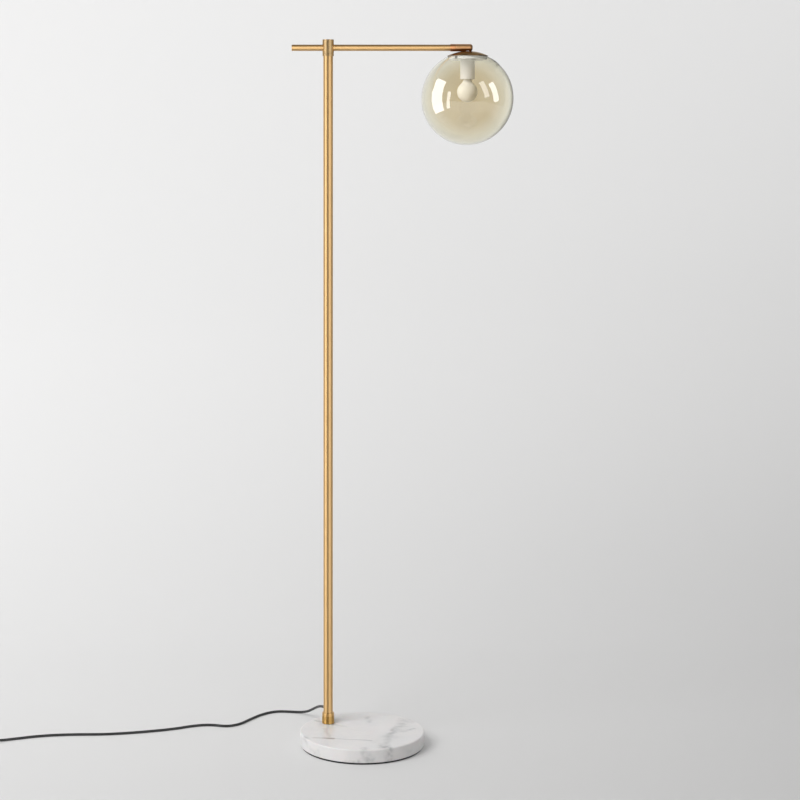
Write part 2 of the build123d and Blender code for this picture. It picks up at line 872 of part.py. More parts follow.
def bulb_outline(inset):
    # ball from its lowest point up, neck arc, then the straight neck to the glass's top
    radius = ball_radius - inset
    arc = neck_arc + inset
    leave = (radius * math.sin(neck_turn), ball_height + radius * math.cos(neck_turn))
    arc_middle = (neck_radius - inset + arc, leave[1] + arc * math.sin(neck_end_turn))
    half = neck_end_turn / 2
    CenterArc((0, ball_height), radius, -90, 180 - bulb_neck_angle)
    ThreePointArc(
        leave,
        (arc_middle[0] - arc * math.cos(half), arc_middle[1] - arc * math.sin(half)),
        (neck_radius - inset, arc_middle[1]),
    )
    Line((neck_radius - inset, arc_middle[1]), (neck_radius - inset, glass_bottom_of_cap))


glass_bottom_of_cap = bulb_cap_bottom - fit
with BuildPart() as bulb_glass:
    with BuildSketch(globe_section):
        with BuildLine():
            bulb_outline(0)
            Line((neck_radius, glass_bottom_of_cap), (0, glass_bottom_of_cap))
            Line((0, glass_bottom_of_cap), (0, bulb_bottom))
        make_face()
        with BuildLine():
            bulb_outline(bulb_glass_wall)
            Line((neck_radius - bulb_glass_wall, glass_bottom_of_cap), (0, glass_bottom_of_cap))
            Line((0, glass_bottom_of_cap), (0, bulb_bottom + bulb_glass_wall))
        make_face(mode=Mode.SUBTRACT)
    revolve(axis=globe_axis)
    collar_radius = bulb_cap_diameter / 2 - bulb_cap_wall - fit
    tube(
        over_globe(glass_bottom_of_cap - bulb_glass_wall),
        neck_radius - bulb_glass_wall / 2,
        collar_radius - bulb_glass_wall,
        bulb_glass_wall,
    )
    tube(
        over_globe(glass_bottom_of_cap - bulb_glass_wall),
        collar_radius,
        collar_radius - bulb_glass_wall,
        glass_top - glass_bottom_of_cap + bulb_glass_wall,
    )
save(bulb_glass, "bulb_glass")

cap_bore = bulb_cap_diameter / 2 - bulb_cap_wall
with BuildPart() as bulb_cap:
    turn(
        globe_section,
        globe_axis,
        (cap_bore, bulb_cap_bottom),
        (bulb_cap_diameter / 2, bulb_cap_bottom),
        (bulb_cap_diameter / 2, bulb_cap_top),
        (0, bulb_cap_top),
        (0, bulb_cap_top - bulb_cap_wall),
        (cap_bore, bulb_cap_top - bulb_cap_wall),
    )
save(bulb_cap, "bulb_cap")

with BuildPart(over_globe(bulb_cap_top)) as bulb_tip:
    Cone(bulb_cap_diameter / 2 - 2 * bulb_cap_wall, bulb_tip_diameter, insulator_height, align=up)
    with BuildSketch(over_globe(bulb_cap_top + insulator_height)):
        Circle(bulb_tip_diameter / 2)
    extrude(amount=bulb_tip_height)
save(bulb_tip, "bulb_tip")

# Stem and two filaments inside the frosted glass
stem_top = bulb_cap_top - bulb_cap_wall
stem_bottom = bulb_cap_bottom - stem_length
with BuildPart() as bulb_stem:
    turn(
        globe_section,
        globe_axis,
        (0, stem_top),
        (cap_bore - fit - bulb_glass_wall - fit, stem_top),
        (stem_diameter / 2, bulb_cap_bottom),
        (stem_diameter / 4, stem_bottom),
        (0, stem_bottom),
    )
save(bulb_stem, "bulb_stem")

with BuildPart(over_globe(stem_bottom)) as bulb_filament:
    Box(2 * filament_spread, filament_diameter, filament_diameter, align=down)
    with Locations((-filament_spread, 0, 0), (filament_spread, 0, 0)):
        Cylinder(filament_diameter / 2, filament_length, align=down)
save(bulb_filament, "bulb_filament")

# Globe
inner_glass = glass_radius - glass_wall
mouth_outer_level = level_at(glass_radius, mouth_radius)
mouth_inner_level = level_at(inner_glass, mouth_radius)
with BuildPart() as shade_globe:
    with BuildSketch(globe_section):
        with BuildLine():
            ThreePointArc(
                (mouth_radius, mouth_outer_level),
                (glass_radius, globe_height),
                (0, globe_height - glass_radius),
            )
            Line((0, globe_height - glass_radius), (0, globe_height - inner_glass))
            ThreePointArc(
                (0, globe_height - inner_glass),
                (inner_glass, globe_height),
                (mouth_radius, mouth_inner_level),
            )
            Line((mouth_radius, mouth_inner_level), (mouth_radius, mouth_outer_level))
        make_face()
    revolve(axis=globe_axis)
    mouth_rim = shade_globe.edges().filter_by(GeomType.CIRCLE).sort_by(Axis.Z)[-1]
    fillet(mouth_rim, mouth_edge)
save(shade_globe, "shade_globe")


# Cord
def from_pole(points):
    # a route written from the pole's axis at the floor
    return [Vector(pole_x + x, pole_y + y, z) for x, y, z in points]


def cord_tube(name, points):
    # tube of straight runs and arcs as large as the shorter run beside each point allows
    runs = [b - a for a, b in zip(points, points[1:])]
    radii = []
    for before, after in zip(runs, runs[1:]):
        half_turn = math.radians(before.get_angle(after)) / 2
        radii.append(0.45 * min(before.length, after.length) / math.tan(half_turn))
    print(name, "radii", [round(radius) for radius in radii])
    with BuildPart() as cord:
        with BuildLine() as route:
            FilletPolyline(*points, radius=radii)
        with BuildSketch(Plane(points[0], z_dir=runs[0])):
            Circle(cord_radius)
        sweep(path=route.line)
    expected = math.pi * cord_radius**2 * route.wire().length
    print(name, "length", round(route.wire().length), "volume share", round(cord.part.volume / expected, 4))
    save(cord, name)


# The lead from the relief's tip to the foot switch, as it lies in the photo
relief_end = exit_origin + exit_dir * relief_tip
lead_route = [relief_end, exit_origin + exit_dir * 59] + from_pole(
    [
        (-25, 93, 43),
        (-36, 127, 27),
        (-48, 157, 12),
        (-66, 180, 3),
        (-93, 185, 3),
        (-124, 188, 3),
        (-155, 165, 3),
        (-181, 127, 3),
        (-203, 89, 3),
        (-232, 70, 3),
        (-270, 84, 3),
        (-308, 78, 3),
        (-354, 52, 3),
        (-425, 29, 3),
        (-505, 12, 3),
        (-585, 12, 3),
        (-652, 2, 3),
        (-706, -19, 3),
        (-742, -38, 4.5),
        (-768, -46, 9.6),
        (-790, -46, 9.6),
    ]
)
cord_tube("cord_lead", lead_route)

# Foot switch: an oblong box that the cord runs through
switch_x = pole_x - switch_entry - cord_relief_length - switch_length / 2
switch_y = pole_y - switch_front


def over_switch(height):
    return Plane((switch_x, switch_y, height))


inner_length = switch_length - 2 * switch_wall
inner_width = switch_width - 2 * switch_wall
screw_places = [(-switch_screw_x, -switch_screw_y), (switch_screw_x, switch_screw_y)]
post_radius = switch_post_diameter / 2
boss_top = switch_wall + boss_height
with BuildPart(over_switch(0)) as switch_base:
    with BuildSketch(over_switch(0)):
        SlotOverall(switch_length, switch_width)
    extrude(amount=switch_split)
    fillet(switch_base.edges().group_by(Axis.Z)[0], switch_bottom_edge)
    with BuildSketch(over_switch(switch_wall)):
        SlotOverall(inner_length, inner_width)
    extrude(amount=switch_split, mode=Mode.SUBTRACT)
    Cylinder(boss_diameter / 2, boss_top, align=up)
    Cylinder(boss_pin_diameter / 2, boss_top + boss_pin_height, align=up)
    with Locations(*screw_places):
        Cylinder(post_radius, switch_split - fit, align=up)
        Cylinder(switch_screw_diameter / 2 + fit, switch_split, align=up, mode=Mode.SUBTRACT)
        Cylinder(
            switch_screw_head / 2 + fit,
            switch_screw_recess + switch_screw_head_height,
            align=up,
            mode=Mode.SUBTRACT,
        )
    with BuildSketch(Plane((switch_x - switch_length, switch_y, switch_split), z_dir=(1, 0, 0))):
        Circle(cord_relief_neck_diameter / 2 + fit)
    extrude(amount=2 * switch_length, mode=Mode.SUBTRACT)
    Cylinder(boss_diameter / 2, boss_top, align=up)
    Cylinder(boss_pin_diameter / 2, boss_top + boss_pin_height, align=up)
save(switch_base, "switch_base")

cover_ceiling = switch_height - switch_wall
button_radius = button_diameter / 2
with BuildPart(over_switch(0)) as switch_cover:
    with BuildSketch(over_switch(switch_split)):
        SlotOverall(switch_length, switch_width)
    extrude(amount=switch_height - switch_split)
    fillet(switch_cover.edges().group_by(Axis.Z)[-1], switch_top_edge)
    with BuildSketch(over_switch(switch_split)):
        SlotOverall(inner_length, inner_width)
    extrude(amount=cover_ceiling - switch_top_edge / 2 - switch_split, mode=Mode.SUBTRACT)
    with BuildSketch(over_switch(cover_ceiling - switch_top_edge / 2)):
        SlotOverall(inner_length - switch_top_edge, inner_width - switch_top_edge)
    extrude(amount=switch_top_edge / 2, mode=Mode.SUBTRACT)
    with BuildSketch(over_switch(switch_split)):
        with Locations(*screw_places):
            Circle(post_radius)
            Circle(switch_screw_diameter / 2 + fit, mode=Mode.SUBTRACT)
    extrude(amount=cover_ceiling - switch_split)
    with BuildSketch(over_switch(switch_split)):
        Circle(button_radius + rest_gap)
    extrude(amount=switch_height, mode=Mode.SUBTRACT)
    with BuildSketch(Plane((switch_x - switch_length, switch_y, switch_split), z_dir=(1, 0, 0))):
        Circle(cord_relief_neck_diameter / 2 + fit)
    extrude(amount=2 * switch_length, mode=Mode.SUBTRACT)
save(switch_cover, "switch_cover")

button_top_level = switch_height + button_travel + button_proud_pressed
button_bottom = button_top_level - button_depth
flange_bottom = cover_ceiling - rest_gap - button_flange_thickness
with BuildPart() as switch_button:
    turn(
        Plane((switch_x, switch_y, 0), x_dir=(1, 0, 0), z_dir=(0, -1, 0)),
        Axis((switch_x, switch_y, 0), (0, 0, 1)),
        (0, button_top_level),
        (button_radius, button_top_level),
        (button_radius, cover_ceiling - rest_gap),
        (button_radius + button_flange, cover_ceiling - rest_gap),
        (button_radius + button_flange, flange_bottom),
        (button_radius, flange_bottom),
        (button_radius, button_bottom),
        (button_radius - button_wall, button_bottom),
        (button_radius - button_wall, button_top_level - button_top),
        (0, button_top_level - button_top),
    )
    fillet(switch_button.edges().group_by(Axis.Z)[-1], button_edge)
save(switch_button, "switch_button")

# Return spring between the boss and the button
spring_rise = button_top_level - button_top - boss_top - spring_wire - 2 * fit
with BuildPart() as switch_spring:
    with BuildLine() as spring_path:
        Helix(
            pitch=spring_rise / spring_turns,
            height=spring_rise,
            radius=spring_mean_diameter / 2,
            center=(switch_x, switch_y, boss_top + spring_wire / 2 + fit),
        )
    with BuildSketch(Plane(spring_path.line @ 0, z_dir=spring_path.line % 0)):
        Circle(spring_wire / 2)
    sweep(path=spring_path.line, is_frenet=True)
save(switch_spring, "switch_spring")

with BuildPart(over_switch(switch_wall)) as switch_contacts:
    with Locations((-terminal_centre, 0, 0), (terminal_centre, 0, 0)):
        Box(terminal_length, terminal_width, terminal_height, align=up)
save(switch_contacts, "switch_contacts")

# The box's end is round inside, so a relief's flange sits this much further in than the wall
inner_end_radius = inner_width / 2
flange_set_in = inner_end_radius - math.sqrt(
    inner_end_radius**2 - (cord_relief_flange_diameter / 2) ** 2
)
relief_seat = switch_wall + flange_set_in

# Wires in the switch: one cut at the terminals, one that passes by
relief_inner = switch_length / 2 - relief_seat - cord_relief_flange
wire_radius = switch_wire_diameter / 2
with BuildPart() as switch_wires:
    for side in (-1, 1):
        start = Plane(
            (switch_x + side * (terminal_centre + terminal_length / 2), switch_y, switch_split),
            z_dir=(side, 0, 0),
        )
        with BuildSketch(start):
            Circle(wire_radius)
        extrude(amount=relief_inner - terminal_centre - terminal_length / 2)
    with BuildLine() as neutral_path:
        corners = [
            (switch_x + x, switch_y + y, neutral_height)
            for x, y in (neutral_past_post, neutral_past_boss, neutral_far_corner)
        ]
        right_end, right_lead, left_lead, left_end = [
            (switch_x + x, switch_y + neutral_start_side, switch_split)
            for x in (
                relief_inner,
                relief_inner - neutral_lead,
                neutral_lead - relief_inner,
                -relief_inner,
            )
        ]
        FilletPolyline(
            right_end, right_lead, *corners, left_lead, left_end, radius=neutral_bend
        )
    with BuildSketch(Plane(neutral_path.line @ 0, z_dir=neutral_path.line % 0)):
        Circle(wire_radius)
    sweep(path=neutral_path.line)
save(switch_wires, "switch_wires")

with BuildPart(over_switch(switch_screw_recess)) as switch_screws:
    with Locations(*screw_places):
        Cylinder(switch_screw_head / 2, switch_screw_head_height, align=up)
        Cylinder(switch_screw_diameter / 2, switch_screw_length, align=up)
save(switch_screws, "switch_screws")


def cord_relief(tip, outward, wall):
    # tapered relief from its root on a wall to its tip, with a neck through the wall and a flange behind
    root = tip - outward * cord_relief_length
    with BuildSketch(Plane(root, z_dir=outward)) as root_end:
        Circle(cord_relief_root_diameter / 2)
    with BuildSketch(Plane(tip, z_dir=outward)) as tip_end:
        Circle(cord_relief_tip_diameter / 2)
    loft([root_end.sketch, tip_end.sketch])
    with BuildSketch(Plane(root, z_dir=-outward)) as neck:
        Circle(cord_relief_neck_diameter / 2)
    extrude(neck.sketch, amount=wall + cord_relief_flange)
    with BuildSketch(Plane(root - outward * wall, z_dir=-outward)) as flange:
        Circle(cord_relief_flange_diameter / 2)
    extrude(flange.sketch, amount=cord_relief_flange)


right_tip = Vector(switch_x + switch_length / 2 + cord_relief_length, switch_y, switch_split)
left_tip = Vector(switch_x - switch_length / 2 - cord_relief_length, switch_y, switch_split)
with BuildPart() as switch_reliefs:
    cord_relief(right_tip, Vector(1, 0, 0), relief_seat)
    cord_relief(left_tip, Vector(-1, 0, 0), relief_seat)
save(switch_reliefs, "switch_reliefs")


# Put-away coil: two layers, in and out again, one climb in the half turn where it reverses
coil_half = coil_turns / 2
coil_edge = coil_pitch * coil_half
coil_least = coil_middle_radius - (coil_edge + coil_pitch / 8) / 2
coil_middle = Vector(
    pole_x - coil_left, switch_y - coil_least - coil_edge, cord_radius + coil_pitch / 2
)


def coil_point(turns):
    # turns run from minus half to plus half of the coil's turns
    if abs(turns) < 0.25:
        radius = coil_least + coil_pitch * (0.125 + 2 * turns**2)
        rise = coil_pitch / 2 * math.sin(2 * math.pi * turns)
    else:
        radius = coil_least + coil_pitch * abs(turns)
        rise = math.copysign(coil_pitch / 2, turns)
    angle = math.pi / 2 + 2 * math.pi * (turns + coil_half)
    return coil_middle + Vector(radius * math.cos(angle), radius * math.sin(angle), rise)


def coil_heading(turns):
    step = 1e-5
    ahead = coil_point(min(turns + step, coil_half))
    behind = coil_point(max(turns - step, -coil_half))
    return (ahead - behind).normalized()


coil_steps = round(coil_turns * arcs_per_turn)
coil_stations = [coil_half * (2 * n / coil_steps - 1) for n in range(coil_steps + 1)]
coil_start, coil_start_heading = coil_point(-coil_half), coil_heading(-coil_half)
coil_end, coil_end_heading = coil_point(coil_half), coil_heading(coil_half)
coil_in = coil_start - coil_start_heading * cord_diameter
coil_out = coil_end + coil_end_heading * cord_diameter


def two_arcs(start, start_heading, end, end_heading):
    # two tangent arcs from one station to the next
    chord = end - start
    both = start_heading + end_heading
    spread = 2 * (1 - start_heading.dot(end_heading))
    along = chord.dot(both)
    reach = (math.sqrt(along**2 + spread * chord.dot(chord)) - along) / spread
    meet = (start + end + (start_heading - end_heading) * reach) * 0.5
    first = TangentArc(start, meet, tangent=start_heading)
    TangentArc(meet, end, tangent=first % 1)


with BuildPart() as cord_coil:
    with BuildLine() as coil_path:
        Line(coil_in, coil_start)
        for here, there in zip(coil_stations, coil_stations[1:]):
            two_arcs(coil_point(here), coil_heading(here), coil_point(there), coil_heading(there))
        Line(coil_end, coil_out)
    with BuildSketch(Plane(coil_in, z_dir=coil_start_heading)):
        Circle(cord_radius)
    sweep(path=coil_path.wire())
save(cord_coil, "cord_coil")

coil_length = coil_path.wire().length
samples = [coil_point(coil_half * (n / 400 - 1)) for n in range(801)]
far_apart = 801 // coil_steps * 2
least_gap = min(
    (a - b).length - cord_diameter
    for i, a in enumerate(samples)
    for b in samples[i + far_apart :]
)
coil_share = cord_coil.part.volume / (math.pi * cord_radius**2 * coil_length)
print("coil length", round(coil_length), "least gap", round(least_gap, 2))
print("coil volume share", round(coil_share, 4))

# From the switch down to the coil
cord_tube(
    "cord_link",
    [
        left_tip,
        left_tip - Vector(cord_straight, 0, 0),
        coil_in - coil_start_heading * cord_straight,
        coil_in,
    ],
)

# Plug beside the coil, and the cord's last stretch
plug_level = plug_height / 2
plug_tip = Vector(coil_out.X + tail_length, coil_out.Y - plug_gap_front, plug_level)
cord_tube(
    "cord_tail",
    [
        coil_out,
        coil_out + coil_end_heading * 15,
        Vector(coil_out.X + 36, coil_out.Y - 3, 3.6),
        plug_tip - Vector(cord_straight, 0, 0),
        plug_tip,
    ],
)

plug_back = plug_tip.X + cord_relief_length
plug_face = plug_back + plug_length
with BuildPart() as plug_body:
    with BuildSketch(Plane((plug_back, plug_tip.Y, 0))):
        with BuildLine():
            Polyline(
                (0, -plug_neck / 2),
                (plug_shoulder, -plug_width / 2),
                (plug_length, -plug_width / 2),
                (plug_length, plug_width / 2),
                (plug_shoulder, plug_width / 2),
                (0, plug_neck / 2),
                close=True,
            )
        make_face()
    extrude(amount=plug_height)
    fillet(plug_body.edges().filter_by(Axis.Z).group_by(Axis.X)[1], plug_edge)
    fillet(plug_body.edges().group_by(Axis.Z)[-1], plug_edge)
    fillet(plug_body.edges().group_by(Axis.Z)[0], plug_edge)
    with BuildSketch(Plane((plug_face, plug_tip.Y, plug_level), x_dir=(0, 1, 0), z_dir=(1, 0, 0))):
        with GridLocations(pin_spacing, 0, 2, 1):
            Circle(pin_diameter / 2 + fit)
    extrude(amount=-pin_in_body, mode=Mode.SUBTRACT)
    with BuildSketch(Plane((plug_back, plug_tip.Y, plug_level), z_dir=(1, 0, 0))):
        Circle(cord_relief_neck_diameter / 2 + fit)
    extrude(amount=plug_wall + cord_relief_flange, mode=Mode.SUBTRACT)
    with BuildSketch(Plane((plug_back + plug_wall, plug_tip.Y, plug_level), z_dir=(1, 0, 0))):
        Circle(cord_relief_flange_diameter / 2 + fit)
    extrude(amount=cord_relief_flange + fit, mode=Mode.SUBTRACT)
save(plug_body, "plug_body")

pin_plane = Plane(
    (plug_face - pin_in_body, plug_tip.Y, plug_level), x_dir=(0, 1, 0), z_dir=(1, 0, 0)
)
with BuildPart() as plug_pins:
    with BuildSketch(pin_plane):
        with GridLocations(pin_spacing, 0, 2, 1):
            Circle(pin_diameter / 2)
    extrude(amount=pin_in_body + pin_length)
    fillet(plug_pins.edges().group_by(Axis.X)[-1], pin_edge)
save(plug_pins, "plug_pins")

with BuildPart() as plug_relief:
    cord_relief(plug_tip, Vector(-1, 0, 0), plug_wall)
save(plug_relief, "plug_relief")
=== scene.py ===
import json
import math
from functools import partial

import bmesh
import bpy
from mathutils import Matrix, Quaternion, Vector


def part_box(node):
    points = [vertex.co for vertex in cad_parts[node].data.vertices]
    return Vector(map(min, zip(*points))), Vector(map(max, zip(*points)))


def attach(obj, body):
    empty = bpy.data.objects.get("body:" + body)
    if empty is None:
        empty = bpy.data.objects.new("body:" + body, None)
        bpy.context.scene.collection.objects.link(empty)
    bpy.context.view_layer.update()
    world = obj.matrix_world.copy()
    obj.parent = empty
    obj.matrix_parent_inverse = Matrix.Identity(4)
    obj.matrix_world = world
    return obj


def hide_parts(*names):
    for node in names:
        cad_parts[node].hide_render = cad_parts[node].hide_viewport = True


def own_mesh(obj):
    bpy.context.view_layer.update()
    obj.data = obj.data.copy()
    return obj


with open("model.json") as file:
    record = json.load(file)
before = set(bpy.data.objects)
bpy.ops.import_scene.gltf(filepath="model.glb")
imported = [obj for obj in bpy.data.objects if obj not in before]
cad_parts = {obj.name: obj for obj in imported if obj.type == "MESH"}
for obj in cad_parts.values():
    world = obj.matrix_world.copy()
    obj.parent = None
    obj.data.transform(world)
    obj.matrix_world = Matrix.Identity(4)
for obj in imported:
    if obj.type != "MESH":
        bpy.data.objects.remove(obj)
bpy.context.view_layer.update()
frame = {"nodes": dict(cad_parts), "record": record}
nodes = frame["nodes"]
print("frame loaded:", len(nodes), "nodes")


def newObject(name, data):
    made = bpy.data.objects.new(name, data)
    bpy.context.collection.objects.link(made)
    return made


# Camera, as the photograph was taken: 1.3 m above the floor and tilted slightly down
cameraSetup = {
    "place": (-0.076, -4.0062, 1.3155),
    "tilt": 82.384,  # degrees from straight down
    "lens": 83.25,
    "sensor": 36,
    "shiftX": 0.0898,
}
cameraData = bpy.data.cameras.new("photoCamera")
cameraData.lens = cameraSetup["lens"]
cameraData.sensor_width = cameraSetup["sensor"]
cameraData.shift_x = cameraSetup["shiftX"]
photoCamera = newObject("photoCamera", cameraData)
photoCamera.location = cameraSetup["place"]
photoCamera.rotation_euler = (math.radians(cameraSetup["tilt"]), 0, 0)
bpy.context.scene.camera = photoCamera
bpy.context.scene.view_settings.view_transform = "Standard"


# Small helpers for shader and geometry trees; an input takes a value or another node's output
def feed(socket, given):
    if isinstance(given, bpy.types.NodeSocket):
        socket.id_data.links.new(given, socket)
    else:
        socket.default_value = given


def spaced(values):
    return {name.replace("_", " "): value for name, value in values.items()}


def addNode(tree, kind, inputs=None, **settings):
    node = tree.nodes.new(kind)
    for name, value in settings.items():
        setattr(node, name, value)
    for name, value in (inputs or {}).items():
        feed(node.inputs[name], value)
    return node


def mathOf(tree, kind, *values, clamp=False):
    node = addNode(tree, "ShaderNodeMath", dict(enumerate(values)), operation=kind, use_clamp=clamp)
    return node.outputs[0]


def ranged(tree, value, fromLow, fromHigh, low=0.0, high=1.0, shape="LINEAR"):
    span = {"Value": value, "From Min": fromLow, "From Max": fromHigh, "To Min": low, "To Max": high}
    return addNode(tree, "ShaderNodeMapRange", span, interpolation_type=shape).outputs["Result"]


def mixed(tree, factor, first, second, kind="RGBA"):
    ends = {"Factor": factor, "A": first, "B": second}
    return addNode(tree, "ShaderNodeMix", ends, data_type=kind).outputs["Result"]


def toned(tree, place, stops, easing="LINEAR"):
    node = addNode(tree, "ShaderNodeValToRGB", {"Fac": place})
    ramp = node.color_ramp
    ramp.interpolation = easing
    while len(ramp.elements) < len(stops):
        ramp.elements.new(0.5)
    for element, (position, tone) in zip(ramp.elements, stops):
        element.position = position
        element.color = grey(tone) if isinstance(tone, float) else (*tone, 1)
    return node.outputs["Color"]


def grey(tone):
    return (tone, tone, tone, 1)


def noiseOf(tree, where, scale, detail, **values):
    inputs = {"Vector": where, "Scale": scale, "Detail": detail, **values}
    return addNode(tree, "ShaderNodeTexNoise", inputs).outputs


socketForms = {float: "Float", int: "Int", str: "Material"}


def newGroup(kind, name, inputs, outputs):
    # a tree with named inputs, whose forms follow from their usual values, and named outputs
    tree = bpy.data.node_groups.new(name, kind)
    for label, value in inputs.items():
        form = socketForms.get(type(value)) or ("Color" if len(value) == 4 else "Vector")
        socket = tree.interface.new_socket(label, in_out="INPUT", socket_type="NodeSocket" + form)
        if form != "Material":
            socket.default_value = value
    for label, form in outputs.items():
        tree.interface.new_socket(label, in_out="OUTPUT", socket_type="NodeSocket" + form)
    return tree, addNode(tree, "NodeGroupInput").outputs


def newGeometry(name, **inputs):
    return newGroup("GeometryNodeTree", name, spaced(inputs), {"Geometry": "Geometry"})


def finishGroup(tree, **outputs):
    addNode(tree, "NodeGroupOutput", outputs)
    return tree


# The part of a noise's values that is drawn out to its full range
noiseSpan = {"grain": (0.3, 0.7), "clouds": (0.35, 0.65), "patches": (0.4, 0.62)}


# Fine grain left by brushing: a noise drawn out along one direction
def makeBrushedGrain():
    inputs = {"Vector": (0, 0, 0), "Stretch": (1, 1, 1), "Low": 0.2, "High": 0.3}
    outputs = {"Roughness": "Float", "Height": "Float"}
    group, given = newGroup("ShaderNodeTree", "brushedGrain", inputs, outputs)
    drawn = {0: given["Vector"], 1: given["Stretch"]}
    drawnOut = addNode(group, "ShaderNodeVectorMath", drawn, operation="MULTIPLY").outputs[0]
    fine = noiseOf(group, drawnOut, scale=1, detail=3)["Fac"]
    roughness = ranged(group, fine, *noiseSpan["grain"], given["Low"], given["High"])
    return finishGroup(group, Roughness=roughness, Height=fine)


# Broad soft clouds between two colours, as in lacquer, enamel and moulded plastic
def makeSoftMottle():
    tones = {"Colour": grey(0.5), "Other colour": grey(0.6)}
    inputs = {"Vector": (0, 0, 0), "Scale": 30.0, **tones, "Contrast": 0.5}
    group, given = newGroup("ShaderNodeTree", "softMottle", inputs, {"Colour": "Color", "Mask": "Float"})
    clouds = noiseOf(group, given["Vector"], given["Scale"], detail=4, Roughness=0.6)["Fac"]
    mask = ranged(group, clouds, *noiseSpan["clouds"])
    amount = mathOf(group, "MULTIPLY", mask, given["Contrast"], clamp=True)
    colour = mixed(group, amount, given["Colour"], given["Other colour"])
    return finishGroup(group, Colour=colour, Mask=mask)


# Fine pits or pebbling for a bump, with its size in bumps to the metre
def makePebbling():
    inputs = {"Vector": (0, 0, 0), "Scale": 900.0}
    group, given = newGroup("ShaderNodeTree", "pebbling", inputs, {"Height": "Float"})
    cellInputs = {"Vector": given["Vector"], "Scale": given["Scale"]}
    cells = addNode(group, "ShaderNodeTexVoronoi", cellInputs, feature="SMOOTH_F1")
    return finishGroup(group, Height=cells.outputs["Distance"])


# A vein in stone: a wandering, patchy line from one place to another
veinNoise = {"driftScale": 26, "driftDetail": 6, "patchDetail": 4, "leastPatch": 0.25}


def makeStoneVein():
    ends = {"From": (0, 0, 0), "To": (0.1, 0, 0)}
    inputs = {"Vector": (0, 0, 0), **ends, "Width": 0.004, "Wander": 0.02, "Patches": 60.0}
    group, given = newGroup("ShaderNodeTree", "stoneVein", inputs, {"Mask": "Float"})

    def vectorStep(kind, first, second, outlet="Vector"):
        node = addNode(group, "ShaderNodeVectorMath", {0: first, 1: second}, operation=kind)
        return node.outputs[outlet]

    def scaledBy(vector, factor):
        node = addNode(group, "ShaderNodeVectorMath", operation="SCALE")
        feed(node.inputs[0], vector)
        feed(node.inputs["Scale"], factor)
        return node.outputs[0]

    where = given["Vector"]
    drift = noiseOf(group, where, veinNoise["driftScale"], veinNoise["driftDetail"])["Color"]
    centred = vectorStep("SUBTRACT", drift, (0.5, 0.5, 0.5))
    moved = vectorStep("ADD", where, scaledBy(centred, given["Wander"]))
    span = vectorStep("SUBTRACT", given["To"], given["From"])
    offset = vectorStep("SUBTRACT", moved, given["From"])
    along = vectorStep("DOT_PRODUCT", offset, span, "Value")
    whole = vectorStep("DOT_PRODUCT", span, span, "Value")
    share = mathOf(group, "DIVIDE", along, whole, clamp=True)
    aside = vectorStep("DISTANCE", offset, scaledBy(span, share), "Value")
    line = ranged(group, aside, 0.0, given["Width"], 1.0, 0.0, "SMOOTHERSTEP")
    cloud = noiseOf(group, where, given["Patches"], veinNoise["patchDetail"])["Fac"]
    patch = ranged(group, cloud, *noiseSpan["patches"], veinNoise["leastPatch"])
    return finishGroup(group, Mask=mathOf(group, "MULTIPLY", line, patch))


brushedGrain = makeBrushedGrain()
softMottle = makeSoftMottle()
pebbling = makePebbling()
stoneVein = makeStoneVein()


def newMaterial(name):
    material = bpy.data.materials.new(name)
    material.use_nodes = True
    tree = material.node_tree
    where = addNode(tree, "ShaderNodeTexCoord").outputs["Object"]
    return material, tree, tree.nodes["Principled BSDF"], where


def middleOf(node):
    low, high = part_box(node)
    return ((low[0] + high[0]) / 2, (low[1] + high[1]) / 2, 0)


def setSockets(shader, **values):
    for name, value in spaced(values).items():
        feed(shader.inputs[name], value)


def placeGroup(tree, group, where, **values):
    return addNode(tree, "ShaderNodeGroup", {"Vector": where, **spaced(values)}, node_tree=group).outputs


def mottled(tree, where, tone, otherTone, scale, **values):
    tones = {"Colour": (*tone, 1), "Other_colour": (*otherTone, 1)}
    return placeGroup(tree, softMottle, where, Scale=scale, **tones, **values)


bumpDepth = 0.0002
smoother, rougher = 0.04, 0.06  # how far moulded pieces stray from their roughness


def bumped(tree, height, strength):
    inputs = {"Strength": strength, "Distance": bumpDepth, "Height": height}
    return addNode(tree, "ShaderNodeBump", inputs).outputs["Normal"]


# Metal: two near tones, and grain in the roughness and bump; marks turned round an axis draw out its shine
def makeMetal(name, tone, otherTone, low, high, stretch, bump=0.02, mottle=25, turned=None, **sockets):
    material, tree, shader, where = newMaterial(name)
    if turned:
        marks = addNode(tree, "ShaderNodeTangent", direction_type="RADIAL", axis=turned)
        setSockets(shader, Tangent=marks.outputs[0], Anisotropic=0.94, Anisotropic_Rotation=0.25)
    grain = placeGroup(tree, brushedGrain, where, Stretch=stretch, Low=low, High=high)
    setSockets(
        shader,
        Base_Color=mottled(tree, where, tone, otherTone, mottle)["Colour"],
        Roughness=grain["Roughness"],
        Normal=bumped(tree, grain["Height"], bump),
        Metallic=1.0,
        **sockets,
    )
    return material


# Plastic, rubber or enamel: two near tones with fine pebbling
def makeMoulded(name, tone, otherTone, roughness, pebbles=900, bump=0.05, mottle=60, **sockets):
    material, tree, shader, where = newMaterial(name)
    clouds = mottled(tree, where, tone, otherTone, mottle)
    texture = placeGroup(tree, pebbling, where, Scale=pebbles)
    setSockets(
        shader,
        Base_Color=clouds["Colour"],
        Roughness=ranged(tree, clouds["Mask"], 0.0, 1.0, roughness - smoother, roughness + rougher),
        Normal=bumped(tree, texture["Height"], bump),
        **sockets,
    )
    return material


# Glass, frosted or clear, with soft clouds in its colour
def makeClouded(name, tone, otherTone, scale, **sockets):
    material, tree, shader, where = newMaterial(name)
    setSockets(shader, Base_Color=mottled(tree, where, tone, otherTone, scale)["Colour"], **sockets)
    return material


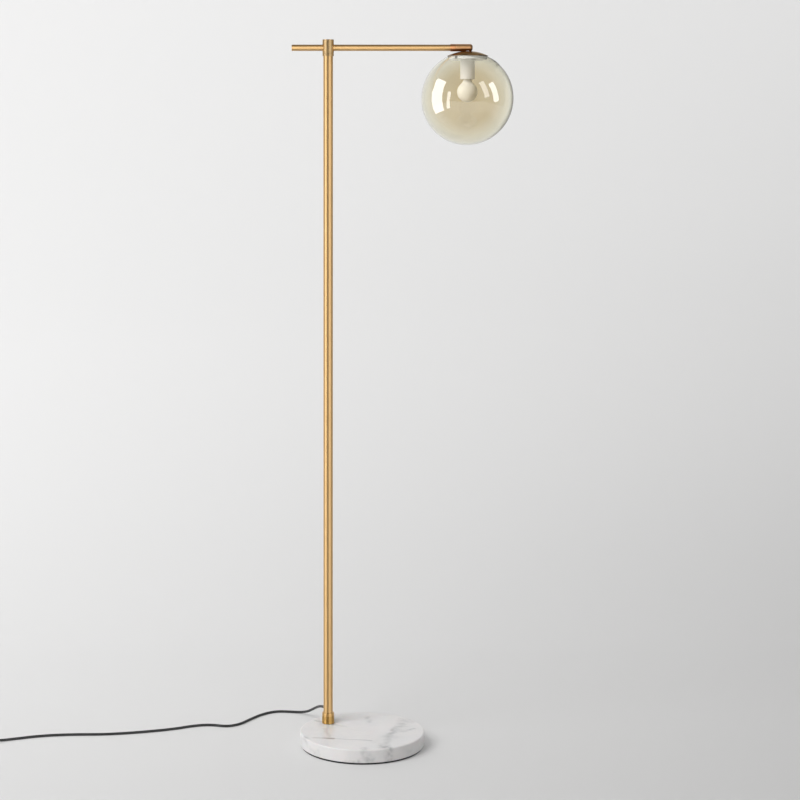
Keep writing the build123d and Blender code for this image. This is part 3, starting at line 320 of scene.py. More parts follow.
brassTone, brassShade = (0.82, 0.55, 0.262), (0.78, 0.51, 0.228)
roundUpright, roundAlong, roundHub = (300, 300, 2600), (2600, 300, 300), (420, 420, 1500)
straight, pitted = (500, 500, 2200), (140, 140, 140)
metals = {
    # tone, other tone, least and most roughness, grain, and what else the metal has
    "poleBrass": (brassTone, brassShade, 0.46, 0.52, roundUpright, {"turned": "Z"}),
    "armBrass": (brassTone, brassShade, 0.55, 0.62, roundAlong, {"turned": "X"}),
    # painted shade: a darker copy of the satin brass for the hub and swivel ring, which dims their highlights
    "hubBrass": ((0.72, 0.52, 0.28), (0.66, 0.46, 0.22), 0.5, 0.6, roundHub, {"turned": "Z"}),
    # painted shade: a darker copy of the satin brass for the collar, which dims its highlights
    "collarBrass": ((0.58, 0.355, 0.115), (0.53, 0.315, 0.10), 0.36, 0.44, roundUpright, {"turned": "Z"}),
    "polishedBrass": ((0.72, 0.46, 0.19), (0.66, 0.41, 0.165), 0.28, 0.36, roundUpright, {"turned": "Z"}),
    "fittingCopper": ((0.76, 0.43, 0.21), (0.70, 0.37, 0.16), 0.34, 0.4, roundAlong, {"turned": "X"}),
    "ringCopper": ((0.66, 0.32, 0.15), (0.60, 0.28, 0.12), 0.4, 0.5, roundAlong, {"turned": "X"}),
    "capCopper": (
        (0.26, 0.155, 0.08),
        (0.12, 0.065, 0.03),
        0.12,
        0.24,
        pitted,
        {"bump": 0.7, "mottle": 130, "Specular_Tint": (0.66, 0.58, 0.46, 1)},
    ),
    "bareBrass": ((0.80, 0.60, 0.30), (0.72, 0.52, 0.24), 0.25, 0.4, straight, {}),
    "steel": ((0.62, 0.62, 0.63), (0.52, 0.52, 0.53), 0.25, 0.42, straight, {}),
    "nickel": ((0.72, 0.69, 0.64), (0.66, 0.63, 0.58), 0.14, 0.28, straight, {}),
    "darkScrew": ((0.13, 0.12, 0.12), (0.09, 0.08, 0.08), 0.3, 0.45, straight, {}),
    "filamentWire": ((0.5, 0.45, 0.4), (0.4, 0.35, 0.3), 0.3, 0.5, straight, {}),
}
lacquer = {"Coat_Weight": 0.6, "Coat_Roughness": 0.12}
moulded = {
    # tone, other tone, roughness, pebbles to the metre, bump, and what else the surface has
    "rubber": ((0.012, 0.012, 0.013), (0.022, 0.022, 0.023), 0.7, 1400, 0.2, {}),
    "blackPlastic": ((0.014, 0.014, 0.015), (0.024, 0.024, 0.026), 0.38, 2200, 0.12, {}),
    "cordSheath": ((0.02, 0.021, 0.022), (0.032, 0.033, 0.034), 0.45, 1200, 0.08, {}),
    "whiteWire": ((0.8, 0.79, 0.76), (0.74, 0.73, 0.70), 0.5, 900, 0.05, {}),
    "nylon": ((0.72, 0.70, 0.64), (0.66, 0.64, 0.58), 0.5, 900, 0.05, {}),
    "whitePlastic": ((0.74, 0.735, 0.725), (0.70, 0.695, 0.685), 0.34, 2200, 0.05, lacquer),
    "whiteEnamel": ((0.87, 0.88, 0.88), (0.83, 0.84, 0.84), 0.28, 500, 0.03, {}),
    "ceramic": ((0.86, 0.84, 0.80), (0.80, 0.78, 0.74), 0.32, 1500, 0.08, {}),
}
clouded = {
    "opalGlass": ((0.88, 0.86, 0.80), (0.85, 0.83, 0.77), 40, {"Roughness": 0.35, "Coat_Weight": 0.2}),
    "clearStem": ((0.95, 0.97, 0.96), (0.9, 0.93, 0.92), 60, {"Roughness": 0.05, "Transmission_Weight": 1.0}),
}
materials = {}
for makeFinish, finishes in ((makeMetal, metals), (makeMoulded, moulded), (makeClouded, clouded)):
    for name, (*look, more) in finishes.items():
        materials[name] = makeFinish(name, *look, **more)

# Marble: white ground with soft clouds, smoky grey veins at the right and a thin rusty streak at the left.
# Veins run between points measured from the disc's middle: across, back and height
marbleLook = {
    "ground": (0.73, 0.715, 0.71),
    "cloud": (0.665, 0.66, 0.665),
    "vein": (0.25, 0.26, 0.27),
    "rust": (0.22, 0.15, 0.13),
    "scale": 16,
    "contrast": 0.8,
    "pits": 600,
    "roughness": (0.26, 0.36),
    "veins": [
        # from, to, width, wander, patches, tint, strength
        ((0.104, 0.075, 0.034), (0.052, -0.075, 0.034), 0.032, 0.07, 40, "vein", 0.38),
        ((0.092, 0.05, 0.034), (0.066, -0.02, 0.034), 0.014, 0.06, 50, "vein", 0.5),
        ((0.066, -0.02, 0.034), (0.046, -0.112, 0.032), 0.015, 0.05, 50, "vein", 0.5),
        ((0.120, 0.01, 0.034), (0.070, -0.03, 0.034), 0.009, 0.05, 34, "vein", 0.45),
        ((0.046, -0.120, 0.034), (0.056, -0.123, 0.004), 0.019, 0.03, 80, "vein", 0.85),
        ((0.004, -0.130, 0.034), (0.016, -0.134, 0.008), 0.018, 0.03, 80, "vein", 0.75),
        ((-0.006, -0.134, 0.010), (0.100, -0.090, 0.012), 0.013, 0.03, 70, "vein", 0.5),
        ((-0.128, -0.050, 0.030), (-0.090, -0.100, 0.002), 0.014, 0.02, 60, "vein", 0.5),
        ((-0.100, -0.090, 0.020), (-0.020, -0.133, 0.008), 0.012, 0.03, 70, "vein", 0.5),
        ((-0.105, -0.050, 0.034), (0.020, -0.074, 0.034), 0.0042, 0.010, 9, "vein", 0.55),
        ((-0.108, -0.053, 0.034), (-0.064, -0.059, 0.034), 0.0075, 0.006, 6, "rust", 1.0),
        ((-0.088, -0.056, 0.034), (-0.068, -0.059, 0.034), 0.0045, 0.004, 3, "rust", 0.7),
        ((-0.082, 0.01, 0.034), (-0.072, -0.055, 0.034), 0.008, 0.02, 30, "rust", 0.3),
        ((0.012, 0.095, 0.034), (0.022, 0.06, 0.034), 0.012, 0.03, 34, "vein", 0.4),
    ],
}


def makeMarble():
    material, tree, shader, where = newMaterial("marble")
    ground = (marbleLook["ground"], marbleLook["cloud"], marbleLook["scale"])
    colour = mottled(tree, where, *ground, Contrast=marbleLook["contrast"])["Colour"]
    discMiddle = Vector(middleOf("marble_disc"))
    for start, stop, width, wander, patches, tint, strength in marbleLook["veins"]:
        ends = {"From": tuple(discMiddle + Vector(start)), "To": tuple(discMiddle + Vector(stop))}
        vein = placeGroup(tree, stoneVein, where, **ends, Width=width, Wander=wander, Patches=patches)
        amount = mathOf(tree, "MULTIPLY", vein["Mask"], strength)
        colour = mixed(tree, amount, colour, (*marbleLook[tint], 1))
    texture = placeGroup(tree, pebbling, where, Scale=marbleLook["pits"])["Height"]
    roughness = ranged(tree, texture, 0.0, 1.0, *marbleLook["roughness"])
    setSockets(
        shader, Base_Color=colour, Roughness=roughness, Subsurface_Weight=0.08, Subsurface_Scale=0.004
    )
    return material


# Glass of the globe: a champagne lustre, paler towards the rim, and stronger where a ray leaves it
globeLook = {
    "near": (0.97, 0.95, 0.885),
    "nearCloud": 0.98,
    "clouds": 9,
    "far": (0.775, 0.665, 0.445),
    "rim": (0.985, 1.0, 0.955),
    "lustre": 1.95,
    "edge": 0.8,
    "pale": (0.3, 0.85),
    "rimLustre": 0.35,
}


def makeGlobeGlass(name, farWhenBack, lustre, shine):
    # the outer face is far when it is seen from behind, the inner face when it is seen from in front
    material, tree, shader, where = newMaterial(name)
    nearCloud = [globeLook["nearCloud"] * part for part in globeLook["near"]]
    tint = mottled(tree, where, globeLook["near"], nearCloud, globeLook["clouds"])["Colour"]
    far = addNode(tree, "ShaderNodeNewGeometry").outputs["Backfacing"]
    if not farWhenBack:
        far = mathOf(tree, "SUBTRACT", 1, far)
    deep = mixed(tree, far, tint, (*globeLook["far"], 1))
    facing = addNode(tree, "ShaderNodeLayerWeight", {"Blend": globeLook["edge"]}).outputs["Facing"]
    fading = ranged(tree, facing, *globeLook["pale"], shape="SMOOTHSTEP")
    if lustre:
        # the lustre thins out towards the rim
        thinned = lustre * globeLook["rimLustre"]
        setSockets(shader, Coat_Weight=ranged(tree, fading, 0.0, 1.0, lustre, thinned))
    setSockets(
        shader,
        Base_Color=mixed(tree, fading, deep, (*globeLook["rim"], 1)),
        Roughness=0.0,
        IOR=1.45,
        Transmission_Weight=1.0,
        Coat_IOR=globeLook["lustre"],
        Coat_Roughness=0.02,
        Specular_IOR_Level=shine,
    )
    return material


materials["marble"] = makeMarble()
materials["globeGlass"] = makeGlobeGlass("globeGlass", True, 0.85, 0.5)
materials["globeInside"] = makeGlobeGlass("globeInside", False, 0.0, 0.2)

# Most slots of the record wear the finish of the same name; these wear another
otherFinish = {
    "rubber_pad": "rubber",
    "satin_brass": "poleBrass",
    "copper_brass": "fittingCopper",
    "copper_cap": "capCopper",
    "black_cord": "cordSheath",
    "frosted_glass": "opalGlass",
    "filament": "filamentWire",
    "tinted_glass": "globeGlass",
}


def finishOf(slot):
    first, *others = slot.split("_")
    return materials[otherFinish.get(slot, first + "".join(part.title() for part in others))]


slotOfNode = {entry["node"]: entry["material_slot"] for entry in frame["record"]["subparts"]}
print("materials made:", len(materials))


def finishPiece(piece, material, body, slot, *replaced):
    if material:
        piece.data.materials.clear()
        piece.data.materials.append(materials[material])
    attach(piece, body)
    if replaced:
        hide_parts(*replaced)
    return piece


# Cords: the points are the route's, from the pole's axis at the floor, in millimetres
poleFoot = Vector((-0.076, 0.055, 0))


def fromPole(points):
    return [poleFoot + Vector(point) / 1000 for point in points]


def splineCord(name, points, diameter):
    curve = bpy.data.curves.new(name, "CURVE")
    curve.dimensions = "3D"
    curve.resolution_u = 10
    curve.bevel_depth = diameter / 2
    curve.bevel_resolution = 5
    curve.use_fill_caps = True
    line = curve.splines.new("NURBS")
    line.points.add(len(points) - 1)
    for point, place in zip(line.points, points):
        point.co = (*place, 1)
    line.order_u = 3
    line.use_endpoint_u = True
    return newObject(name, curve)


cordExit = {
    "height": 0.068,
    "angle": 106.5,
    "fall": 0.2,
    "relief": (0.008, 0.0335),  # its root and tip, from the pole's axis
    "straight": 0.059,
}
exitTurn = math.radians(cordExit["angle"])
exitWay = Vector((math.cos(exitTurn), math.sin(exitTurn), -cordExit["fall"])).normalized()
exitStart = poleFoot + Vector((0, 0, cordExit["height"]))
leadCord = {
    "diameter": 0.006,
    "length": 0.969,
    "points": [
        (-25, 93, 43), (-36, 127, 27), (-48, 157, 12), (-66, 180, 3), (-93, 185, 3),
        (-124, 188, 3), (-155, 165, 3), (-181, 127, 3), (-203, 89, 3), (-232, 70, 3),
        (-270, 84, 3), (-308, 78, 3), (-354, 52, 3), (-425, 29, 3), (-505, 12, 3),
        (-585, 12, 3), (-652, 2, 3), (-706, -19, 3), (-742, -38, 4.5), (-768, -46, 9.6),
        (-790, -46, 9.6),
    ],
}
leadPoints = [
    exitStart + exitWay * cordExit["relief"][1],
    exitStart + exitWay * cordExit["straight"],
    *fromPole(leadCord["points"]),
]
cordToSwitch = splineCord("cordToSwitch", leadPoints, leadCord["diameter"])

# From the switch into the put-away coil, and out of it to the plug
coilLay = {
    "middle": 33.0,
    "pitch": 6.7,
    "turns": 3.5,
    "left": 975,
    "front": 46,
    "level": 3,
    "pointsPerTurn": 16,
    "lead": 6,
    "straight": 17,
    "away": 15,
    # right and back of where the cord leaves the coil, and the height
    "sag": (36, -3, 3.6),
    "plug": (76, -5, 6.85),
    "length": 0.869,
}
halfTurns = coilLay["turns"] / 2
coilLeast = coilLay["middle"] - (coilLay["pitch"] * halfTurns + coilLay["pitch"] / 8) / 2
coilEdge = coilLay["pitch"] * halfTurns
coilMiddle = Vector(
    (-coilLay["left"], -coilLay["front"] - coilLeast - coilEdge, coilLay["level"] + coilLay["pitch"] / 2)
)


def coilPoint(turns, outward=1.0):
    # two layers, in and out again, with the climb in the half turn where it reverses
    if abs(turns) < 0.25:
        radius = coilLeast + coilLay["pitch"] * (0.125 + 2 * turns**2)
        rise = coilLay["pitch"] / 2 * math.sin(2 * math.pi * turns)
    else:
        radius = coilLeast + coilLay["pitch"] * abs(turns)
        rise = math.copysign(coilLay["pitch"] / 2, turns)
    angle = math.pi / 2 + 2 * math.pi * (turns + halfTurns)
    radius *= outward
    return coilMiddle + Vector((radius * math.cos(angle), radius * math.sin(angle), rise))


def coilHeading(turns, step=1e-4):
    ahead = coilPoint(min(turns + step, halfTurns))
    behind = coilPoint(max(turns - step, -halfTurns))
    return (ahead - behind).normalized()


# the curve runs inside its points, so those of the coil stand a little outward
pullIn = 0.75 + 0.25 * math.cos(2 * math.pi / coilLay["pointsPerTurn"])
coilSteps = round(coilLay["turns"] * coilLay["pointsPerTurn"])
coilIn = coilPoint(-halfTurns) - coilHeading(-halfTurns) * coilLay["lead"]
coilOut = coilPoint(halfTurns) + coilHeading(halfTurns) * coilLay["lead"]
rightTip, leftTip = Vector((-790, -46, 9.6)), Vector((-914, -46, 9.6))
sag, plugTip = (
    Vector((coilOut.x + right, coilOut.y + back, level))
    for right, back, level in (coilLay["sag"], coilLay["plug"])
)
straightOn = Vector((coilLay["straight"], 0, 0))
restPoints = fromPole(
    [
        leftTip,
        leftTip - straightOn,
        coilIn - coilHeading(-halfTurns) * coilLay["straight"],
        coilIn,
        *[
            coilPoint(halfTurns * (2 * step / coilSteps - 1), 1 / pullIn)
            for step in range(1, coilSteps)
        ],
        coilOut,
        coilOut + coilHeading(halfTurns) * coilLay["away"],
        sag,
        plugTip - straightOn,
        plugTip,
    ]
)
cordToPlug = splineCord("cordToPlug", restPoints, leadCord["diameter"])
finishPiece(cordToSwitch, "cordSheath", "base", "black_cord", "cord_lead")
finishPiece(cordToPlug, "cordSheath", "base", "black_cord", "cord_link", "cord_coil", "cord_tail")
print("cords laid")


# Turned pieces: a closed outline spun round an axis; a corner is its radius, level and any rounding
def softOutline(corners, arcSteps=6, hold=0.00012):
    points = []
    for index, (radius, level, *rounding) in enumerate(corners):
        here = Vector((radius, level))
        if not rounding:
            points.append(here)
            continue
        rounding = rounding[0]
        before = (Vector(corners[index - 1][:2]) - here).normalized()
        after = (Vector(corners[(index + 1) % len(corners)][:2]) - here).normalized()
        half = before.angle(after) / 2
        reach = rounding / math.tan(half)
        middle = here + (before + after).normalized() * rounding / math.sin(half)
        first, last = here + before * reach, here + after * reach
        points.append(first + before * hold)
        for step in range(arcSteps + 1):
            along = first.lerp(last, step / arcSteps)
            points.append(middle + (along - middle).normalized() * rounding)
        points.append(last + after * hold)
    return points


def spinMesh(name, outline, axisPlace, axis="up", steps=128, sharp=32):
    # outline points are (radius, level), one vertex where they lie on the axis; edges past sharp degrees stay
    area = sum(a.x * b.y - b.x * a.y for a, b in zip(outline, [*outline[1:], outline[0]]))
    if area < 0:
        outline = outline[::-1]
    mesh = bpy.data.meshes.new(name)
    built = bmesh.new()
    rings = []
    for point in outline:
        ring = []
        for step in range(1 if point.x < 1e-7 else steps):
            turn = 2 * math.pi * step / steps
            across = (point.x * math.cos(turn), point.x * math.sin(turn))
            place = Vector((*across, point.y) if axis == "up" else (point.y, *across))
            ring.append(built.verts.new(Vector(axisPlace) + place))
        rings.append(ring)
    for lower, upper in zip(rings, [*rings[1:], rings[0]]):
        if len(lower) == 1 and len(upper) == 1:
            continue
        for step in range(steps):
            ahead = (step + 1) % steps
            loop = [
                lower[step % len(lower)],
                lower[ahead % len(lower)],
                upper[ahead % len(upper)],
                upper[step % len(upper)],
            ]
            built.faces.new([v for i, v in enumerate(loop) if v not in loop[:i]])
    built.normal_update()
    built.to_mesh(mesh)
    built.free()
    mesh.shade_smooth()
    mesh.set_sharp_from_angle(angle=math.radians(sharp))
    return newObject(name, mesh)


def turnedSize(node, way=2):
    # the radius, and where the node begins and ends: upward, or along the arm when way is 0
    low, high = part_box(node)
    return (high[1] - low[1]) / 2, low[way], high[way]


poleAxis = (poleFoot.x, poleFoot.y, 0)
globeAxis = (0.2255, 0.055, 0)
armAxis = (0, 0.055, 1.540)
fineEdge, barelyRound = 0.0003, 0.0002


def turnPiece(name, corners, dress, axisPlace=poleAxis, arcSteps=6, **spin):
    # dress is the finish, the body, the slot and the CAD node that the piece stands for
    return finishPiece(spinMesh(name, softOutline(corners, arcSteps), axisPlace, **spin), *dress)


def tubeCorners(radius, start, end, wall):
    ends = [(radius - wall, start, barelyRound), (radius, start, fineEdge)]
    return [*ends, (radius, end, fineEdge), (radius - wall, end, barelyRound)]


def plainCopy(piece):
    # a plain mesh of the piece with its modifiers applied
    made = bpy.data.meshes.new_from_object(piece.evaluated_get(bpy.context.evaluated_depsgraph_get()))
    piece.modifiers.clear()
    piece.data = made
    made.name = piece.name
    return piece


# Foot: the disc with the recess and hole for the stud under the pole
footShape = {
    "discEdge": 0.003,
    "padEdge": 0.0006,
    "recess": 0.018,
    "recessTop": 0.018,
    "hole": 0.0055,
    "cutPast": 0.01,
    "steps": 192,
}
discEdge, padEdge, recess, recessTop, hole, cutPast, footSteps = footShape.values()
radius, low, high = turnedSize("marble_disc")
discCorners = [(0, high), (radius, high, discEdge), (radius, low, discEdge), (0, low)]
marbleDisc = spinMesh("marbleDisc", softOutline(discCorners), middleOf("marble_disc"), steps=footSteps)
recessCorners = [
    (0, low - cutPast),
    (recess, low - cutPast),
    (recess, recessTop),
    (hole, recessTop),
    (hole, high + cutPast),
    (0, high + cutPast),
]
recessCutter = spinMesh("recessCutter", softOutline(recessCorners), poleAxis, steps=64)
cut = marbleDisc.modifiers.new("recess", "BOOLEAN")
cut.operation = "DIFFERENCE"
cut.object = recessCutter
cut.solver = "EXACT"
plainCopy(marbleDisc)
bpy.data.objects.remove(recessCutter)
finishPiece(marbleDisc, "marble", "base", "marble", "marble_disc")

radius, low, high = turnedSize("foot_pad")
turnPiece(
    "footPad",
    [(0, low), (radius, low, padEdge), (radius, high, padEdge), (0, high)],
    ("rubber", "base", "rubber_pad", "foot_pad"),
    middleOf("foot_pad"),
    steps=footSteps,
)

# Collar on the disc and the lock ring on its neck
collarShape = {
    "hole": 0.0055,
    "bore": 0.01055,
    "floor": 0.004,
    "topRadius": 0.0136,
    "neckRadius": 0.012,
    "neckHeight": 0.005,
    "edge": 0.0005,
}
hole, bore, floor, topRadius, neckRadius, neckHeight, edge = collarShape.values()
radius, low, collarTop = turnedSize("foot_collar")
turnPiece(
    "footCollar",
    [
        (hole, low), (radius, low, edge), (topRadius, collarTop - neckHeight, edge),
        (neckRadius, collarTop - neckHeight), (neckRadius, collarTop), (bore, collarTop),
        (bore, low + floor), (hole, low + floor),
    ],
    ("collarBrass", "base", "satin_brass", "foot_collar"),
)

ringShape = {"topRadius": 0.0132, "bore": 0.01055, "counterbore": 0.01205, "play": 0.0001, "edge": 0.0014}
topRadius, bore, counterbore, play, edge = ringShape.values()
radius, low, high = turnedSize("foot_lock_ring")
turnPiece(
    "footLockRing",
    [
        (counterbore, low), (radius, low, fineEdge), (topRadius, high, edge),
        (bore, high, fineEdge), (bore, collarTop + play), (counterbore, collarTop + play),
    ],
    ("polishedBrass", "base", "polished_brass", "foot_lock_ring"),
)

# Pole: two tubes that meet in a fine seam over a hidden coupler
poleWall = 0.0015
for name, node in (("lowerTube", "lower_tube"), ("upperTube", "upper_tube")):
    dress = ("poleBrass", "base", "satin_brass", node)
    poleTube = turnPiece(name, tubeCorners(*turnedSize(node), poleWall), dress)
    poleTube.visible_glossy = False

# Swivel ring at the pole's top, and the hub that turns on it
hubShape = {
    "bore": 0.0071,
    "ringBore": 0.01055,
    "ringBevel": 0.001,
    "edge": 0.0005,
    "rim": 0.0022,
    "dishFrom": 0.0026,
    "dish": 0.0004,
    "socket": 0.006,
}
bore, ringBore, ringBevel, edge, rim, dishFrom, dish, socket = hubShape.values()
radius, low, high = turnedSize("swivel_ring")
turnPiece(
    "swivelRing",
    [(ringBore, low), (radius, low, ringBevel), (radius, high, fineEdge), (ringBore, high)],
    ("hubBrass", "base", "satin_brass", "swivel_ring"),
)
radius, low, high = turnedSize("hub")
turnPiece(
    "hubBody",
    [
        (bore, low), (radius, low, edge), (radius, high, edge),
        (radius - rim, high, barelyRound), (radius - dishFrom, high - dish, barelyRound),
        (0, high - dish), (0, low + socket), (bore, low + socket),
    ],
    ("hubBrass", "arm", "satin_brass", "hub"),
)

# Arm: tube, turned end plug, ring and fitting with a rounded nose
armShape = {
    "wall": 0.0012,
    "slip": 0.00005,
    "play": 0.0001,
    "flange": 0.0015,
    "plugEdge": 0.0006,
    "dish": 0.0003,
    "dishTo": 0.55,  # of the plug's radius
    "rimFrom": 0.7,
    "ringEdge": 0.0005,
    "nose": 0.0055,
    "noseWall": 0.008,
}
wall, slip, play, flange, plugEdge, dish, dishTo, rimFrom, ringEdge, nose, noseWall = armShape.values()
alongArm = {"axisPlace": armAxis, "axis": "along"}
radius, left, right = turnedSize("arm_tube", 0)
slipRadius, plugBore = radius + slip, radius - wall - play
tubeDress = ("armBrass", "arm", "satin_brass", "arm_tube")
armPole = turnPiece("armPole", tubeCorners(radius, left, right, wall), tubeDress, **alongArm)
radius, left, right = turnedSize("arm_end_plug", 0)
armEndPlug = turnPiece(
    "armEndPlug",
    [
        (0, left + dish), (radius * dishTo, left + dish, plugEdge),
        (radius * rimFrom, left, plugEdge), (radius, left, plugEdge),
        (radius, left + flange, barelyRound), (plugBore, left + flange),
        (plugBore, right, fineEdge), (0, right),
    ],
    ("armBrass", "arm", "satin_brass", "arm_end_plug"),
    **alongArm,
)
radius, left, right = turnedSize("fitting_ring", 0)
fittingRing = turnPiece(
    "fittingRing",
    [(slipRadius, left), (radius, left, ringEdge), (radius, right, ringEdge), (slipRadius, right)],
    ("ringCopper", "arm", "copper_brass", "fitting_ring"),
    **alongArm,
)
radius, left, right = turnedSize("head_fitting", 0)
headFitting = turnPiece(
    "headFitting",
    [
        (slipRadius, left), (radius, left, fineEdge), (radius, right, nose), (0, right),
        (0, right - noseWall), (slipRadius, right - noseWall),
    ],
    ("fittingCopper", "arm", "copper_brass", "head_fitting"),
    arcSteps=14,
    **alongArm,
)
print("pole, hub and arm made")

# Cap: a shallow shell between two spheres round the globe's middle
globeMiddle = 1.4315
capShape = {
    "outer": 0.1014,
    "inner": 0.1003,
    "flat": 0.0127,
    "bend": 0.0006,
    "hole": 0.00505,
    "rim": 0.00055,
    "outerEase": 0.004,  # turn left free at the rim, in radians
    "innerEase": 0.003,
    "rings": 28,
}
outer, inner, flat, bend, hole, rim, outerEase, innerEase, rings = capShape.values()


def onSphere(radius, angle):
    return Vector((radius * math.sin(angle), globeMiddle + radius * math.cos(angle)))


def sphereArc(radius, start, stop, rings):
    return [onSphere(radius, start + (stop - start) * step / rings) for step in range(rings + 1)]


capRadius = turnedSize("shade_cap")[0]
outerEdge, innerEdge = math.asin(capRadius / outer), math.asin((capRadius - rim) / inner)
outerFlat = math.asin(flat / outer)
flatLevel, underFlat = onSphere(outer, outerFlat).y, onSphere(inner, outerFlat).y
capOutline = [
    Vector((hole, flatLevel)),
    Vector((flat - bend, flatLevel)),
    *sphereArc(outer, outerFlat, outerEdge - outerEase, rings),
    onSphere((outer + inner) / 2, outerEdge),
    *sphereArc(inner, innerEdge - innerEase, outerFlat, rings),
    Vector((flat - bend, underFlat)),
    Vector((hole, underFlat)),
]
shadeCap = spinMesh("shadeCap", capOutline, globeAxis, steps=160)
finishPiece(shadeCap, "capCopper", "arm", "copper_cap", "shade_cap")

# Gallery: the white dish in the globe's mouth
galleryShape = {"wall": 0.001, "edge": 0.0022, "innerEdge": 0.0012, "hole": 0.00505}
wall, edge, innerEdge, hole = galleryShape.values()
radius, low, high = turnedSize("shade_gallery")
shadeGallery = turnPiece(
    "shadeGallery",
    [
        (hole, low), (radius, low, edge), (radius, high, fineEdge),
        (radius - wall, high, fineEdge), (radius - wall, low + wall, innerEdge),
        (hole, low + wall),
    ],
    ("whiteEnamel", "arm", "white_enamel", "shade_gallery"),
    globeAxis,
    steps=160,
)

# Lampholder sleeve
sleeveShape = {
    "wall": 0.0012,
    "mouthInner": 0.0005,
    "mouthOuter": 0.0006,
    "topInner": 0.0004,
    "topOuter": 0.0008,
    "hole": 0.00505,
}
wall, mouthInner, mouthOuter, topInner, topOuter, hole = sleeveShape.values()
radius, low, high = turnedSize("lampholder_sleeve")
lampholderSleeve = turnPiece(
    "lampholderSleeve",
    [
        (radius - wall, low, mouthInner), (radius, low, mouthOuter),
        (radius, high, topOuter), (hole, high), (hole, high - wall),
        (radius - wall, high - wall, topInner),
    ],
    ("whitePlastic", "arm", "white_plastic", "lampholder_sleeve"),
    globeAxis,
)

# Bulb: a ball that runs into its neck, with a thin wall
bulbShape = {
    "ball": 0.0222,
    "wall": 0.001,
    "neck": 0.0086,
    "turnAngle": 40,
    "rings": 40,
    "flank": 0.98,  # of the straight that the bend may use
    "flankSteps": 12,
}
_, bulbLow, bulbHigh = turnedSize("bulb_glass")
ballMiddle = bulbLow + bulbShape["ball"]


def bulbLine(inset):
    # from the bottom pole up the ball, then a smooth flank into the neck
    ball, neck = bulbShape["ball"] - inset, bulbShape["neck"] - inset
    turnAngle = math.radians(bulbShape["turnAngle"])
    points = []
    for step in range(bulbShape["rings"] + 1):
        angle = math.pi - (math.pi - turnAngle) * step / bulbShape["rings"]
        points.append(Vector((ball * math.sin(angle), ballMiddle + ball * math.cos(angle))))
    shoulder = points[-1]
    slope = Vector((-math.cos(turnAngle), math.sin(turnAngle)))
    drop = (shoulder.x - neck) / math.cos(turnAngle)
    bend = Vector((neck, shoulder.y + slope.y * drop))
    reach = min(drop, bulbHigh - bend.y) * bulbShape["flank"]
    first, last = bend - slope * reach, bend + Vector((0, reach))
    for step in range(1, bulbShape["flankSteps"] + 1):
        t = step / bulbShape["flankSteps"]
        points.append(first * (1 - t) ** 2 + bend * 2 * t * (1 - t) + last * t**2)
    if bulbHigh - points[-1].y > 1e-5:
        points.append(Vector((neck, bulbHigh)))
    return points


outerLine, innerLine = bulbLine(0), bulbLine(bulbShape["wall"])
outerLine[0].x = innerLine[0].x = 0
bulbBall = spinMesh("bulbBall", [*outerLine, *reversed(innerLine)], globeAxis)
finishPiece(bulbBall, "opalGlass", "bulb", "frosted_glass", "bulb_glass")
print("head made")


# Geometry trees: each ends in real geometry that wears the given material
sweptSteps = {"boot": 145, "bootRound": 40, "coilTurn": 28, "wireRound": 12}


def passOn(tree, geometry, kind, **inputs):
    return addNode(tree, kind, {"Geometry": geometry, **spaced(inputs)}).outputs[0]


def dressUp(tree, geometry, material):
    real = passOn(tree, geometry, "GeometryNodeRealizeInstances")
    return passOn(tree, real, "GeometryNodeSetMaterial", Material=material)


def sweep(tree, curve, section, **inputs):
    inputs = {"Curve": curve, "Profile Curve": section, "Fill Caps": True, **inputs}
    return addNode(tree, "GeometryNodeCurveToMesh", inputs).outputs[0]


def growWith(name, tree, **values):
    # a piece made by the tree with these values, as a plain mesh
    piece = newObject(name, bpy.data.meshes.new(name))
    modifier = piece.modifiers.new(name, "NODES")
    modifier.node_group = tree
    sockets = [item for item in tree.interface.items_tree if item.in_out == "INPUT"]
    identifiers = {socket.name: socket.identifier for socket in sockets}
    for label, value in spaced(values).items():
        modifier[identifiers[label]] = value
    bpy.context.view_layer.update()
    return plainCopy(piece)


# Globe: a grid bent into the outer sphere, over the mouth's rounded lip and back down the inner one
globeShape = {
    "wall": 0.002,
    "mouth": 0.042,
    "rings": 176,
    "segments": 200,
    "lip": (0.48, 0.52),  # the rows' share where the lip begins and ends
    "weld": 0.000002,
}


